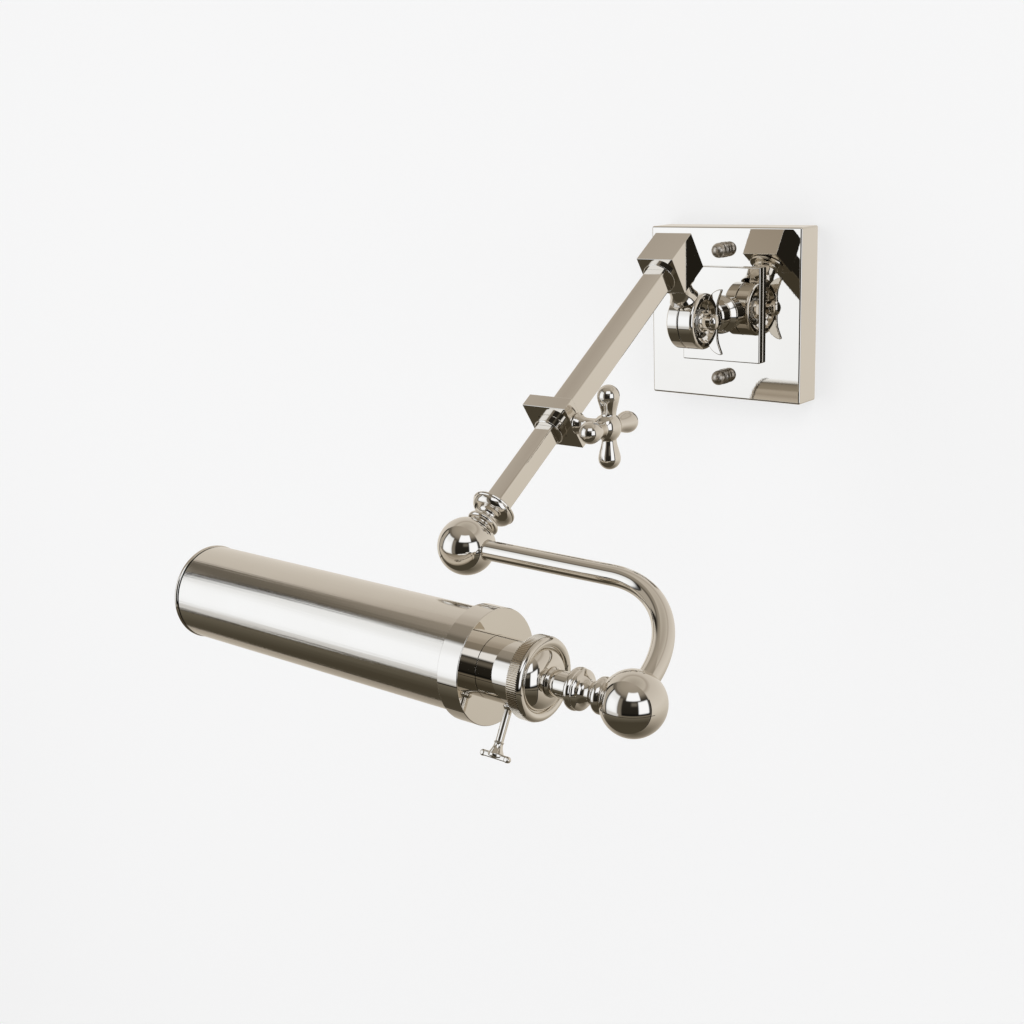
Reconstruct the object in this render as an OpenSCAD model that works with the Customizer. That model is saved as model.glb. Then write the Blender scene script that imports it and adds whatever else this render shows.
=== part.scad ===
// Swing arm wall sconce with a tubular picture-light shade.
// Millimetres. The wall is the plane y = 0, the lamp stands out toward -Y, Z is up.

/* [Backplate] */
// Side of the square backplate
plate_side = 120; // [90:1:160]
// Depth of the hollow backplate
plate_depth = 22; // [14:0.5:40]
// Sheet thickness of the backplate
plate_wall = 1.5; // [1:0.1:3]
// Distance between the two mounting studs
stud_spacing = 88.9; // [60:0.1:110]
// Width of the raised plate behind the knuckle
raised_width = 62; // [40:1:90]
// Height of the raised plate behind the knuckle
raised_height = 66; // [40:1:90]
// Thickness of the raised plate
raised_thick = 4.5; // [2:0.5:8]

/* [Knuckle] */
// Distance of the pivot from the wall
pivot_out = 63; // [50:0.5:90]
// Radius of the round knuckle
knuckle_radius = 19; // [14:0.5:26]
// Thickness of the half fixed to the wall plate
fixed_half = 9.5; // [6:0.5:14]
// Thickness of the half that carries the neck
swing_half = 11; // [6:0.5:16]
// Diameter of the pivot bolt
pivot_bolt_size = 8; // [5:0.5:10]
// Distance from the pivot to the middle of the elbow block
neck_reach = 49.5; // [40:0.5:70]
// Diameter of the neck
neck_size = 16; // [12:0.5:20]

/* [Arm] */
// Angle of the arm below horizontal
pitch = 33.4; // [0:0.1:60]
// Side of the cube-shaped elbow block
elbow_side = 27.6; // [20:0.5:36]
// Side of the square outer tube
outer_side = 14.8; // [12:0.1:20]
// Side of the square inner tube
inner_side = 12; // [8:0.1:16]
// Wall of the inner tube
inner_wall = 1.2; // [0.8:0.1:2]
// Distance from the elbow to the middle of the clamp block
clamp_at = 152; // [100:1:200]
// Side of the clamp block
clamp_side = 32; // [24:0.5:40]
// Length of the clamp block along the arm
clamp_thick = 9.5; // [6:0.5:16]
// Distance from the elbow to the first ball
ball_reach = 256; // [200:1:320]
// Length of the inner tube
inner_length = 157; // [100:1:200]

/* [Cross handle] */
// Distance of the handle hub from the arm axis
handle_out = 39; // [30:0.5:50]
// Tip radius of the four handle arms
handle_radius = 25.4; // [18:0.5:34]
// Radius of the rounded arm ends
handle_bulb = 6.7; // [4:0.1:8]

/* [J arm] */
// Diameter of both balls
ball_size = 33.5; // [24:0.5:44]
// Diameter of the bent tube
bent_size = 11.5; // [8:0.5:16]
// Sideways distance between the balls
side_reach = 155; // [100:1:200]
// Distance between the balls along the arm
drop_reach = 71; // [60:1:100]
// Bend radius of the tube centre line
bend_radius = 53; // [40:1:60]

/* [Lamp head] */
// Outside diameter of the shade
shade_size = 56; // [44:1:70]
// Wall of the shade
shade_wall = 0.9; // [0.6:0.1:2]
// Distance from the second ball to the collar disc
disc_at = 85; // [75:1:100]
// Distance from the second ball to the far end of the shade
shade_end = 315; // [250:1:360]
// Outside diameter of the collar around the shade
collar_size = 62; // [58:1:76]
// Half angle of the light slot
slot_half_angle = 50; // [30:1:55]
// Outside diameter of the socket shell
shell_size = 34; // [30:1:40]
// Outside diameter of the knurled ring
knurl_size = 44; // [38:1:50]
// Distance from the second ball to the switch key
key_at = 70.5; // [66:0.5:76]
// Angle of the switch key around the socket
key_angle = 242; // [180:1:300]

/* [Hidden] */
fine = 96;
gap = 0.3;
fit = 0.05;
joint_line = 0.5;
plate_half = plate_side / 2;
front = plate_depth + raised_thick;
stud_size = 4;
screw_size = 4;
drum_back = pivot_out - knuckle_radius;
foot_radius = 11;
foot_length = 14.5;
lug_half = 9;
spindle_size = 10;
neck_top = neck_reach - elbow_side / 2 - gap - 1.8;
socket_depth = elbow_side / 2 - 6.5;
outer_start = elbow_side / 2 - socket_depth + 0.1;
outer_end = clamp_at + clamp_thick / 2;
bore_side = inner_side + 0.16;
bush_radius = 9.6;
bush_length = 5.6;
mouth_radius = 11.4;
mouth_length = 2.6;
clamp_screw_size = 6;
bell_at = 31;
pin_size = 7;
pin_start = 6.5;
tube_seat = 8;
straight_side = side_reach - bend_radius;
bent_wall = 1.1;
shade_radius = shade_size / 2;
shell_radius = shell_size / 2;
knurl_radius = knurl_size / 2;
collar_radius = collar_size / 2;
knurl_from = 55;
knurl_to = 61;
core_radius = 16.2;
core_end = 102;
screw_shell_from = 78;
glass_from = 101;
glass_radius = 15;
glass_end = 236;
stem_size = 4.2;
stem_shaft = 7.05;

nickel = [0.80, 0.77, 0.72];
steel = [0.62, 0.63, 0.65];
brass = [0.78, 0.62, 0.32];
dark = [0.12, 0.12, 0.12];

// ---- frames ----

// Arm frame at the pivot: the arm runs toward -Y, the neck stands up along Z.
module tilted() {
  translate([0, -pivot_out, 0])
    rotate([pitch, 0, 0])
      children();
}

// Arm frame at the middle of the elbow block.
module on_arm() {
  tilted()
    translate([0, 0, neck_reach])
      children();
}

// Z runs outward along the arm, starting at the given distance from the elbow.
module along_arm(distance) {
  on_arm()
    translate([0, -distance, 0])
      rotate([90, 0, 0])
        children();
}

// First ball: Z points back toward the elbow.
module toward_elbow() {
  on_arm()
    translate([0, -ball_reach, 0])
      rotate([-90, 0, 0])
        children();
}

module at_ball_1() {
  on_arm()
    translate([0, -ball_reach, 0])
      children();
}

module at_ball_2() {
  at_ball_1()
    translate([side_reach, -drop_reach, 0])
      children();
}

// Lamp head: Z runs along the socket and shade, away from the second ball.
module on_head() {
  at_ball_2()
    rotate([0, -90, 0])
      children();
}

// Z becomes +X.
module along_x() {
  rotate([0, 90, 0])
    children();
}

// ---- shapes ----

module turned(points) {
  rotate_extrude($fn = fine)
    polygon(points);
}

module rod(radius, length) {
  cylinder(h = length, r = radius, $fn = fine);
}

module ring(outer, inner, length) {
  difference() {
    rod(outer, length);
    translate([0, 0, -1])
      rod(inner, length + 2);
  }
}

module block(size) {
  cube(size, center = true);
}

// Screw with a low round head. Z is the shank direction, the head sits below z = 0.
module pan_screw(size, length, head) {
  rod(size / 2, length);
  translate([0, 0, -head])
    rod(size, head);
  translate([0, 0, -head - size * 0.15])
    cylinder(h = size * 0.15, r1 = size * 0.7, r2 = size, $fn = fine);
}

module hexagon(across, length) {
  cylinder(h = length, r = across / 2 / cos(30), $fn = 6);
}

// Z becomes -Y, toward the room.
module to_room() {
  rotate([90, 0, 0])
    children();
}

module square_bar(side, length) {
  linear_extrude(length)
    square(side, center = true);
}

// ---- backplate and mounting ----

module backplate() {
  color(nickel)
    difference() {
      translate([0, -plate_depth / 2, 0])
        block([plate_side, plate_depth, plate_side]);
      translate([0, -(plate_depth - plate_wall) / 2 + 0.5, 0])
        block([plate_side - 2 * plate_wall, plate_depth - plate_wall + 1, plate_side - 2 * plate_wall]);
      for (side = [-1, 1])
        translate([0, 0, side * stud_spacing / 2])
          to_room() rod(stud_size / 2 + gap, plate_depth + 1);
      for (side = [-1, 1])
        translate([side * 20, 0, 0])
          to_room() rod(screw_size / 2 + gap, plate_depth + 1);
      to_room() rod(pivot_bolt_size / 2 + gap, plate_depth + 1);
    }
}

strap_thick = 2;
strap_width = 20;
slot_centre = 39.7;
slot_travel = 9.5;
slot_radius = 2.4;

module mounting_strap() {
  color(steel)
    difference() {
      translate([0, -strap_thick / 2, 0])
        union() {
          block([strap_width, strap_thick, 108]);
          block([104, strap_thick, strap_width]);
        }
      for (side = [-1, 1])
        translate([0, 1, side * stud_spacing / 2])
          to_room() rod(stud_size / 2 + fit, strap_thick + 2);
      for (side = [-1, 1])
        translate([side * slot_centre, 1, 0])
          to_room() {
            for (end = [-1, 1])
              translate([end * slot_travel / 2, 0, 0])
                rod(slot_radius, strap_thick + 2);
            translate([-slot_travel / 2, -slot_radius, 0])
              cube([slot_travel, 2 * slot_radius, strap_thick + 2]);
          }
      translate([0, 1, -26])
        to_room() rod(screw_size / 2 + fit, strap_thick + 2);
      translate([0, 1, 0])
        to_room() rod(6, strap_thick + 2);
    }
}

module strap_studs() {
  color(steel)
    for (side = [-1, 1])
      translate([0, 0, side * stud_spacing / 2])
        to_room() rod(stud_size / 2, plate_depth + 7);
}

module stud_nuts() {
  color(steel)
    for (side = [-1, 1])
      translate([0, -strap_thick, side * stud_spacing / 2])
        to_room()
          difference() {
            hexagon(7, 3.2);
            translate([0, 0, -1]) rod(stud_size / 2 + fit, 6);
          }
}

module ground_screw() {
  color([0.20, 0.50, 0.25])
    translate([0, -strap_thick, -26])
      rotate([-90, 0, 0])
        pan_screw(screw_size, strap_thick, 2.2);
}

module cap_nuts() {
  color(nickel)
    for (side = [-1, 1])
      translate([0, -plate_depth, side * stud_spacing / 2])
        to_room()
          difference() {
            union() {
              turned([[0, 0], [5.2, 0], [5.4, 0.6], [5.2, 1.3], [4.3, 1.6], [4.3, 2.2], [4.7, 2.5],
                      [4.7, 3.2], [4.0, 3.6], [3.8, 5], [0, 5]]);
              translate([0, 0, 7])
                sphere(r = 4.9, $fn = fine);
            }
            translate([0, 0, -1])
              rod(stud_size / 2 + fit, 8.5);
          }
}

// ---- raised plate and fixed half of the knuckle ----

module raised_plate() {
  color(nickel)
    difference() {
      translate([0, -plate_depth - raised_thick / 2, 0])
        block([raised_width, raised_thick, raised_height]);
      for (side = [-1, 1])
        translate([side * 20, -plate_depth + 1, 0])
          to_room() rod(screw_size / 2 + fit, raised_thick);
      translate([0, -plate_depth + 1, 0])
        to_room() rod(pivot_bolt_size / 2 + fit, raised_thick + 2);
    }
}

module plate_screws() {
  color(steel)
    for (side = [-1, 1])
      translate([side * 20, -plate_depth + plate_wall, 0])
        to_room() pan_screw(screw_size, 4.5, 2.4);
}

module foot_bolt() {
  color(steel)
    translate([0, -plate_depth + plate_wall, 0])
      to_room() {
        rod(pivot_bolt_size / 2, 16);
        translate([0, 0, -5]) hexagon(13, 5);
      }
}

module knuckle_base() {
  color(nickel)
    difference() {
      union() {
        translate([-fixed_half, -pivot_out, 0])
          along_x() turned([[0, 0], [knuckle_radius - 1.2, 0], [knuckle_radius - 0.4, 0.4],
                            [knuckle_radius, 1.2], [knuckle_radius, fixed_half - joint_line],
                            [0, fixed_half - joint_line]]);
        translate([-fixed_half, -pivot_out, -lug_half])
          cube([fixed_half - joint_line, pivot_out - front - 4, 2 * lug_half]);
        translate([0, -front, 0])
          to_room() turned([[0, 0], [foot_radius + 2.5, 0], [foot_radius + 2.5, 1.5],
                            [foot_radius + 1, 3.2], [foot_radius, 4.2], [foot_radius, foot_length - 1],
                            [foot_radius - 1, foot_length], [0, foot_length]]);
      }
      translate([-fixed_half - 1, -pivot_out, 0])
        along_x() rod(pivot_bolt_size / 2 + fit, fixed_half + 2);
      translate([-fixed_half - 1, -pivot_out, 0])
        along_x() rod(6.6, 4.2);
      translate([0, -front + 1, 0])
        to_room() rod(pivot_bolt_size / 2 + fit, 12.5);
    }
}

module pivot_bolt() {
  color(steel)
    translate([-fixed_half, -pivot_out, 0])
      along_x() {
        translate([0, 0, 0.2]) rod(6.4, 2.9);
        rod(pivot_bolt_size / 2, fixed_half + 16.5);
      }
}

module friction_washer() {
  color(dark)
    translate([-joint_line, -pivot_out, 0])
      along_x() ring(knuckle_radius - 2, pivot_bolt_size / 2 + gap, 0.4);
}

// ---- swinging half of the knuckle ----

swing_from = 0.25;
dish_radius = 14.4;
dish_depth = 4.6;

module knuckle_swing() {
  color(nickel)
    tilted()
      difference() {
        union() {
          translate([swing_from, 0, 0])
            along_x()
              turned([[0, 0], [knuckle_radius, 0], [knuckle_radius, swing_half - 2.4],
                      [knuckle_radius - 0.4, swing_half - 1.2], [knuckle_radius - 1.3, swing_half - 0.4],
                      [knuckle_radius - 2.6, swing_half], [dish_radius, swing_half],
                      [dish_radius - 0.6, swing_half - 1.6], [dish_radius - 2, swing_half - 3.2],
                      [dish_radius - 4.4, swing_half - dish_depth], [0, swing_half - dish_depth]]);
          translate([swing_from, -neck_size / 2, 12])
            cube([neck_size / 2 - swing_from, neck_size, 10]);
          translate([0, 0, knuckle_radius + 0.5])
            turned([[0, 0], [neck_size / 2 + 2, 0], [neck_size / 2 + 1.2, 1.6], [neck_size / 2 + 0.4, 3.8],
                    [neck_size / 2, 6], [neck_size / 2, neck_top - knuckle_radius - 0.5],
                    [0, neck_top - knuckle_radius - 0.5]]);
          translate([0, 0, neck_top - 3])
            turned([[0, 0], [neck_size / 2, 0], [neck_size / 2 + 1.2, 1], [neck_size / 2 + 1.2, 2],
                    [neck_size / 2, 3], [0, 3]]);
        }
        translate([-1, 0, 0])
          along_x() rod(pivot_bolt_size / 2 + fit, 14);
        translate([0, 0, neck_top - 9])
          rod(spindle_size / 2 + fit, 12);
      }
}

module neck_washer() {
  color(nickel)
    tilted()
      translate([0, 0, neck_top])
        difference() {
          turned([[0, 0], [12, 0], [12.5, 0.5], [12.5, 1.3], [12, 1.8], [0, 1.8]]);
          translate([0, 0, -1]) rod(spindle_size / 2 + fit, 4);
        }
}

groove_at = neck_reach - 2;

module neck_spindle() {
  color(steel)
    tilted()
      difference() {
        translate([0, 0, neck_top - 9])
          rod(spindle_size / 2, 14.5 + elbow_side / 2 + 2);
        translate([0, 0, groove_at - 2.4])
          ring(spindle_size, spindle_size / 2 - 0.8, 4.8);
      }
}

module bolt_washer() {
  color(steel)
    translate([swing_from + swing_half - dish_depth + gap, -pivot_out, 0])
      along_x() ring(8, pivot_bolt_size / 2 + fit, 1.4);
}

wing_from = swing_from + swing_half - dish_depth + gap + 1.4;
hub_radius = 5.6;

module wing() {
  translate([0, 1.3, 0])
    rotate([90, 0, 0])
      linear_extrude(2.6)
        polygon([[wing_from + 4.6, 3], [wing_from + 4.8, 7], [wing_from + 4.2, 11],
                 [wing_from + 4.8, 15.5], [wing_from + 7.0, 18.4], [wing_from + 9.4, 20.2],
                 [wing_from + 11.8, 21.4], [wing_from + 14.4, 22], [wing_from + 14.6, 20.6],
                 [wing_from + 13, 17.6], [wing_from + 11.6, 13], [wing_from + 11.2, 8],
                 [wing_from + 11.4, 3]]);
}

module wing_nut() {
  color(nickel)
    translate([0, -pivot_out, 0])
      difference() {
        union() {
          translate([wing_from, 0, 0])
            along_x()
              turned([[0, 0], [7.2, 0], [7.4, 0.8], [7.0, 1.6], [hub_radius, 2.2], [hub_radius, 9.5],
                      [5.2, 10.8], [4.2, 11.8], [2.6, 12.5], [0, 12.8]]);
          wing();
          mirror([0, 0, 1]) wing();
        }
        translate([wing_from - 1, 0, 0])
          along_x() rod(pivot_bolt_size / 2 + fit, 10.5);
      }
}

// ---- elbow and tubes ----

module elbow_block() {
  color(nickel)
    on_arm()
      difference() {
        union() {
          block([elbow_side, elbow_side, elbow_side]);
          translate([0, -elbow_side / 2 + 1, 0])
            to_room() turned([[0, 0], [mouth_radius, 0], [mouth_radius, mouth_length + 0.4],
                              [mouth_radius - 0.5, mouth_length + 1], [0, mouth_length + 1]]);
        }
        translate([0, 0, -elbow_side / 2 - 1])
          rod(spindle_size / 2 + fit, elbow_side / 2 + 8);
        translate([0, -elbow_side / 2 + socket_depth, 0])
          to_room() square_bar(outer_side + 2 * fit, socket_depth + mouth_length + 1);
        translate([-elbow_side / 2 - 1, 0, -2])
          along_x() rod(2 + fit, elbow_side / 2 + 1);
      }
}

module elbow_grub() {
  color(steel)
    on_arm()
      translate([-elbow_side / 2 + 0.5, 0, -2])
        along_x()
          difference() {
            rod(2, elbow_side / 2 - 0.5 - spindle_size / 2 + 0.4);
            translate([0, 0, -1]) hexagon(2, 3);
          }
}

module outer_tube() {
  color(nickel)
    along_arm(outer_start)
      difference() {
        square_bar(outer_side, outer_end - outer_start);
        translate([0, 0, -1])
          square_bar(bore_side, outer_end - outer_start + 2);
        translate([0, 0, clamp_at - outer_start])
          along_x() rod(clamp_screw_size / 2 + gap, outer_side);
      }
}

module clamp_block() {
  color(nickel)
    along_arm(clamp_at - clamp_thick / 2)
      difference() {
        square_bar(clamp_side, clamp_thick);
        translate([0, 0, -1])
          square_bar(outer_side + 2 * fit, clamp_thick + 2);
        translate([0, 0, clamp_thick / 2])
          along_x() rod(clamp_screw_size / 2 + fit, clamp_side);
      }
}

module clamp_bush() {
  color(nickel)
    along_arm(outer_end)
      difference() {
        turned([[0, 0], [bush_radius, 0], [bush_radius, bush_length - 0.7],
                [bush_radius - 0.2, bush_length - 0.2], [bush_radius - 0.7, bush_length],
                [0, bush_length]]);
        translate([0, 0, -1])
          square_bar(bore_side, bush_length + 2);
      }
}

module inner_tube() {
  color(nickel)
    along_arm(ball_reach - bell_at - inner_length)
      difference() {
        square_bar(inner_side, inner_length);
        translate([0, 0, -1])
          square_bar(inner_side - 2 * inner_wall, inner_length + 2);
      }
}

// ---- cross handle and clamp screw ----

module handle_arm() {
  turned([[0, 4.4], [4.1, 4.4], [4.3, 7], [4.8, 10], [5.6, 13.2], [6.3, 16], [handle_bulb, 18.6],
          [6.5, handle_radius - 4.6], [5.7, handle_radius - 2.6], [4.4, handle_radius - 1.2],
          [2.5, handle_radius - 0.3], [0, handle_radius]]);
}

module at_handle() {
  on_arm()
    translate([0, -clamp_at, 0])
      rotate([-pitch, 0, 0])
        children();
}

module cross_handle() {
  color(nickel)
    at_handle()
      difference() {
        union() {
          translate([handle_out - 7.5, 0, 0])
            along_x()
              turned([[0, 0], [5.2, 0], [6.2, 2], [6.9, 5], [6.9, 9], [6.2, 11.5], [4.6, 13.2],
                      [2.4, 14.2], [0, 14.5]]);
          for (turn = [0 : 90 : 270])
            translate([handle_out, 0, 0])
              rotate([turn, 0, 0])
                handle_arm();
        }
        translate([handle_out - 9, 0, 0])
          along_x() rod(clamp_screw_size / 2 + fit, 9);
      }
}

module clamp_screw() {
  color(nickel)
    on_arm()
      translate([inner_side / 2 + gap + 0.8, -clamp_at, 0])
        along_x() {
          rod(clamp_screw_size / 2, handle_out - inner_side / 2 - gap - 1.8);
          translate([0, 0, clamp_side / 2 + gap - inner_side / 2 - gap - 0.8])
            turned([[0, 0], [6.4, 0], [6.5, 0.8], [5.4, 2], [4.6, 3.6], [4.1, 6], [4.1, 10],
                    [4.4, 13.6], [4.8, 15.1], [0, 15.1]]);
        }
}

module clamp_pad() {
  color(dark)
    on_arm()
      translate([inner_side / 2 + gap, -clamp_at, 0])
        along_x() rod(2.8, 0.8);
}

// ---- end fitting, balls and bent tube ----

ring_1_from = 16.2;
ring_1_to = 20.4;

module bell_fitting() {
  color(nickel)
    toward_elbow()
      difference() {
        union() {
          turned([[0, 20.7], [6.6, 20.7], [6.3, 21.6], [6.5, 22.6], [7.3, 23.6], [8.9, 24.5],
                  [10.7, 25.5], [12.0, 26.7], [12.7, 28.1], [12.9, 29.1], [13.5, 29.6], [13.6, 30.3],
                  [13.2, bell_at], [0, bell_at]]);
          translate([0, 0, bell_at - 1])
            square_bar(inner_side - 2 * inner_wall - 2 * fit, 9);
        }
        translate([0, 0, 20])
          rod(pin_size / 2 + fit, 12);
        translate([0, 0, 20])
          rod(2.5, 30);
      }
}

module spindle_pin() {
  difference() {
    translate([0, 0, pin_start])
      rod(pin_size / 2, 30 - pin_start);
    translate([0, 0, pin_start - 1])
      rod(2, 32);
    translate([0, 0, 9])
      ring(pin_size, pin_size / 2 - 0.6, 3.6);
  }
}

module ball_1_spindle() {
  color(steel)
    toward_elbow() spindle_pin();
}

module swivel_ring_1() {
  color(nickel)
    toward_elbow()
      difference() {
        turned([[0, ring_1_from - 2.2], [6.6, ring_1_from - 2.2], [7.0, ring_1_from - 0.2],
                [8.6, ring_1_from], [9.4, ring_1_from + 0.8], [9.7, ring_1_from + 1.8],
                [9.4, ring_1_from + 2.8], [8.6, ring_1_from + 3.6], [7.8, ring_1_to],
                [0, ring_1_to]]);
        translate([0, 0, ring_1_from - 4])
          rod(pin_size / 2 + fit, 12);
        sphere(r = ball_size / 2 + 0.02, $fn = fine);
      }
}

module ball_1() {
  color(nickel)
    at_ball_1()
      difference() {
        along_x() sphere(r = ball_size / 2, $fn = fine);
        rotate([-90, 0, 0])
          translate([0, 0, pin_start - 0.5]) rod(pin_size / 2 + fit, ball_size);
        along_x()
          translate([0, 0, tube_seat]) rod(bent_size / 2 + fit, ball_size);
        along_x()
          translate([0, 0, -1]) rod(2.2, ball_size);
        rotate([-90, 0, 0])
          translate([0, 0, -1]) rod(2.2, ball_size);
        translate([0, 10.8, 0])
          rotate([0, -90, 0])
            translate([0, 0, 3]) rod(1.5 + fit, ball_size);
      }
}

module bent_solid(radius, extra) {
  along_x()
    translate([0, 0, tube_seat - extra])
      rod(radius, straight_side - tube_seat + extra);
  translate([straight_side, -bend_radius, 0])
    rotate_extrude(angle = 90, $fn = fine)
      translate([bend_radius, 0])
        circle(r = radius, $fn = fine);
  translate([side_reach, -bend_radius, 0])
    to_room() rod(radius, drop_reach - bend_radius - tube_seat + extra);
}

module j_tube() {
  color(nickel)
    at_ball_1()
      difference() {
        bent_solid(bent_size / 2, 0);
        bent_solid(bent_size / 2 - bent_wall, 1);
      }
}

module ball_2() {
  color(nickel)
    at_ball_2()
      difference() {
        along_x() sphere(r = ball_size / 2, $fn = fine);
        rotate([-90, 0, 0])
          translate([0, 0, tube_seat]) rod(bent_size / 2 + fit, ball_size);
        rotate([-90, 0, 0])
          translate([0, 0, -1]) rod(2.2, ball_size);
        rotate([0, -90, 0])
          translate([0, 0, pin_start - 0.5]) rod(pin_size / 2 + fit, ball_size);
        rotate([0, -90, 0])
          translate([0, 0, -1]) rod(2.2, ball_size);
        translate([-10.8, 0, 0])
          to_room()
            translate([0, 0, 3]) rod(1.5 + fit, ball_size);
      }
}

module grub() {
  difference() {
    rod(1.5, 7.4);
    translate([0, 0, 5.4]) hexagon(1.5, 3);
  }
}

module ball_grubs() {
  color(steel) {
    at_ball_1()
      translate([-3.4, 10.8, 0])
        rotate([0, -90, 0]) grub();
    at_ball_2()
      translate([-10.8, -3.4, 0])
        to_room() grub();
  }
}

ring_2_to = 20.2;

module swivel_ring_2() {
  color(nickel)
    on_head()
      difference() {
        turned([[0, 13.6], [6.8, 13.6], [8.4, 15.2], [9.3, 16.4], [9.5, 17.6], [9.2, 18.8],
                [8.2, 19.8], [7.4, ring_2_to], [0, ring_2_to]]);
        translate([0, 0, 10])
          rod(pin_size / 2 + fit, 12);
        sphere(r = ball_size / 2 + 0.02, $fn = fine);
      }
}

// ---- lamp head ----

module stem_spindle() {
  color(steel)
    on_head() spindle_pin();
}

module head_stem() {
  color(nickel)
    on_head()
      difference() {
        turned([[0, 20.5], [6.6, 20.5], [6.8, 21.2], [6.1, 22.6], [5.9, 24.4], [6.3, 26],
                [7.6, 27.3], [9.2, 28.3], [10.2, 29.1], [10.5, 29.9], [10.2, 30.6], [9.9, 30.9],
                [10.6, 31.4], [10.95, 32.4], [10.95, 33.4], [10.5, 34.4], [9.2, 35], [7.4, 35.3],
                [stem_shaft, 35.9], [stem_shaft, 46.6], [7.5, 47.2], [8, 48.1],
                [stem_shaft, 48.2], [stem_shaft, 58.5], [0, 58.5]]);
        translate([0, 0, 20])
          rod(pin_size / 2 + fit, 10.5);
        translate([0, 0, 20])
          rod(2.5, 40);
      }
}

module socket_cap() {
  color(nickel)
    on_head()
      difference() {
        turned([[0, 48.4], [8.2, 48.5], [10.3, 49.1], [12.3, 50.1], [14.1, 51.5], [15.5, 53.1],
                [16.1, 54.1], [16.6, 54.2], [17.2, 53.2], [18.2, 52.6], [19.4, 52.4], [20.6, 52.8],
                [21.4, 53.6], [21.8, 54.7], [17.4, 54.7], [16.6, 55.3], [15.8, 55.5], [14.8, 54.4],
                [13.5, 52.8], [11.8, 51.4], [9.9, 50.4], [8.2, 49.9], [0, 49.8]]);
        translate([0, 0, 47])
          rod(stem_shaft + fit, 10);
      }
}

teeth = 96;

module knurled_ring() {
  color(nickel)
    on_head()
      translate([0, 0, knurl_from])
        difference() {
          linear_extrude(knurl_to - knurl_from)
            polygon([for (i = [0 : 2 * teeth - 1])
              (knurl_radius - (i % 2) * 0.5) * [cos(i * 180 / teeth), sin(i * 180 / teeth)]]);
          translate([0, 0, -1])
            rod(shell_radius + fit, 10);
        }
}

module socket_shell() {
  color(nickel)
    on_head()
      difference() {
        translate([0, 0, knurl_from + 0.7])
          ring(shell_radius, shell_radius - 0.7, disc_at - knurl_from - 0.9);
        translate([0, 0, key_at])
          rotate([0, 0, key_angle])
            along_x() rod(3.4, 30);
      }
}

module socket_core() {
  color(dark)
    on_head()
      difference() {
        translate([0, 0, 59])
          rod(core_radius, core_end - 59);
        translate([0, 0, screw_shell_from])
          rod(13.7, 40);
        translate([0, 0, 74.5])
          rod(4.4, 10);
        translate([0, 0, key_at])
          rotate([0, 0, key_angle]) {
            translate([4, -5.1, -4.1]) cube([8.2, 10.2, 8.2]);
            along_x() rod(2.6, 30);
          }
        translate([0, 0, 58])
          rod(3, 8);
      }
}

module switch_body() {
  color([0.35, 0.25, 0.18])
    on_head()
      translate([0, 0, key_at])
        rotate([0, 0, key_angle])
          difference() {
            translate([4.1, -5, -4]) cube([8, 10, 8]);
            translate([5, 0, 0]) along_x() rod(stem_size / 2 + fit, 20);
          }
}

module screw_shell() {
  color(brass)
    on_head()
      translate([0, 0, screw_shell_from + 0.2])
        union() {
          ring(13.3, 12.95, 22.6);
          for (turn = [0 : 5])
            translate([0, 0, 2.5 + turn * 3.4])
              turned([[13.1, 0], [13.6, 0.6], [13.6, 1.2], [13.1, 1.8]]);
        }
}

module centre_contact() {
  color(brass)
    on_head() {
      translate([0, 0, 74.6]) rod(4.2, 1.2);
      translate([0, 0, 75.8]) cylinder(h = 2, r1 = 3.2, r2 = 2, $fn = fine);
    }
}

module shade_ring() {
  color(steel)
    on_head()
      translate([0, 0, disc_at + 1.3])
        difference() {
          turned([[0, 0], [19.6, 0], [20, 0.4], [20, 2.6], [19.6, 3], [0, 3]]);
          translate([0, 0, -1]) rod(core_radius + fit, 6);
        }
}

module shade_collar() {
  color(nickel)
    on_head()
      translate([0, 0, disc_at])
        difference() {
          turned([[0, 0], [collar_radius - 0.3, 0], [collar_radius, 0.3], [collar_radius, 13.2],
                  [collar_radius - 0.4, 13.6], [shade_radius + fit, 13.6], [shade_radius + fit, 12.2],
                  [collar_radius - 1.2, 12.2], [collar_radius - 1.2, 1.2], [0, 1.2]]);
          translate([0, 0, -1]) rod(core_radius + fit, 4);
        }
}

slot_from = 106;
slot_to = 304;

module shade_profile() {
  difference() {
    circle(r = shade_radius, $fn = fine);
    circle(r = shade_radius - shade_wall, $fn = fine);
  }
}

module shade_tube() {
  color(nickel)
    on_head()
      difference() {
        translate([0, 0, disc_at + 1.4])
          linear_extrude(shade_end - disc_at - 5.4)
            shade_profile();
        translate([0, 0, slot_from])
          linear_extrude(slot_to - slot_from)
            rotate([0, 0, 180])
              polygon([[0, 0], [60 * cos(slot_half_angle), 60 * sin(slot_half_angle)], [90, 0],
                       [60 * cos(slot_half_angle), -60 * sin(slot_half_angle)]]);
      }
}

module shade_end_cap() {
  color(nickel)
    on_head()
      translate([0, 0, shade_end - 3])
        turned([[0, 0], [26.6, 0], [26.6, -8], [26.95, -8], [26.95, 0], [28, 0], [28.2, 0.3],
                [28.2, 2.7], [27.9, 3], [27, 3], [26.4, 1.4], [0, 1.4]]);
}

module bulb_base() {
  color(brass)
    on_head() {
      translate([0, 0, screw_shell_from + 0.4])
        turned([[0, 0], [4.2, 0], [4.6, 0.6], [9.5, 1.6], [12.4, 2.4], [12.5, 22.4], [0, 22.4]]);
    }
}

module bulb_glass() {
  color([0.96, 0.95, 0.90])
    on_head()
      turned([[0, glass_from], [12.6, glass_from], [12.8, glass_from + 3], [14.2, glass_from + 8],
              [glass_radius, glass_from + 13], [glass_radius, glass_end - 10],
              [14.4, glass_end - 6.2], [12.6, glass_end - 3], [9.4, glass_end - 1],
              [5, glass_end - 0.2], [0, glass_end]]);
}

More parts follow.
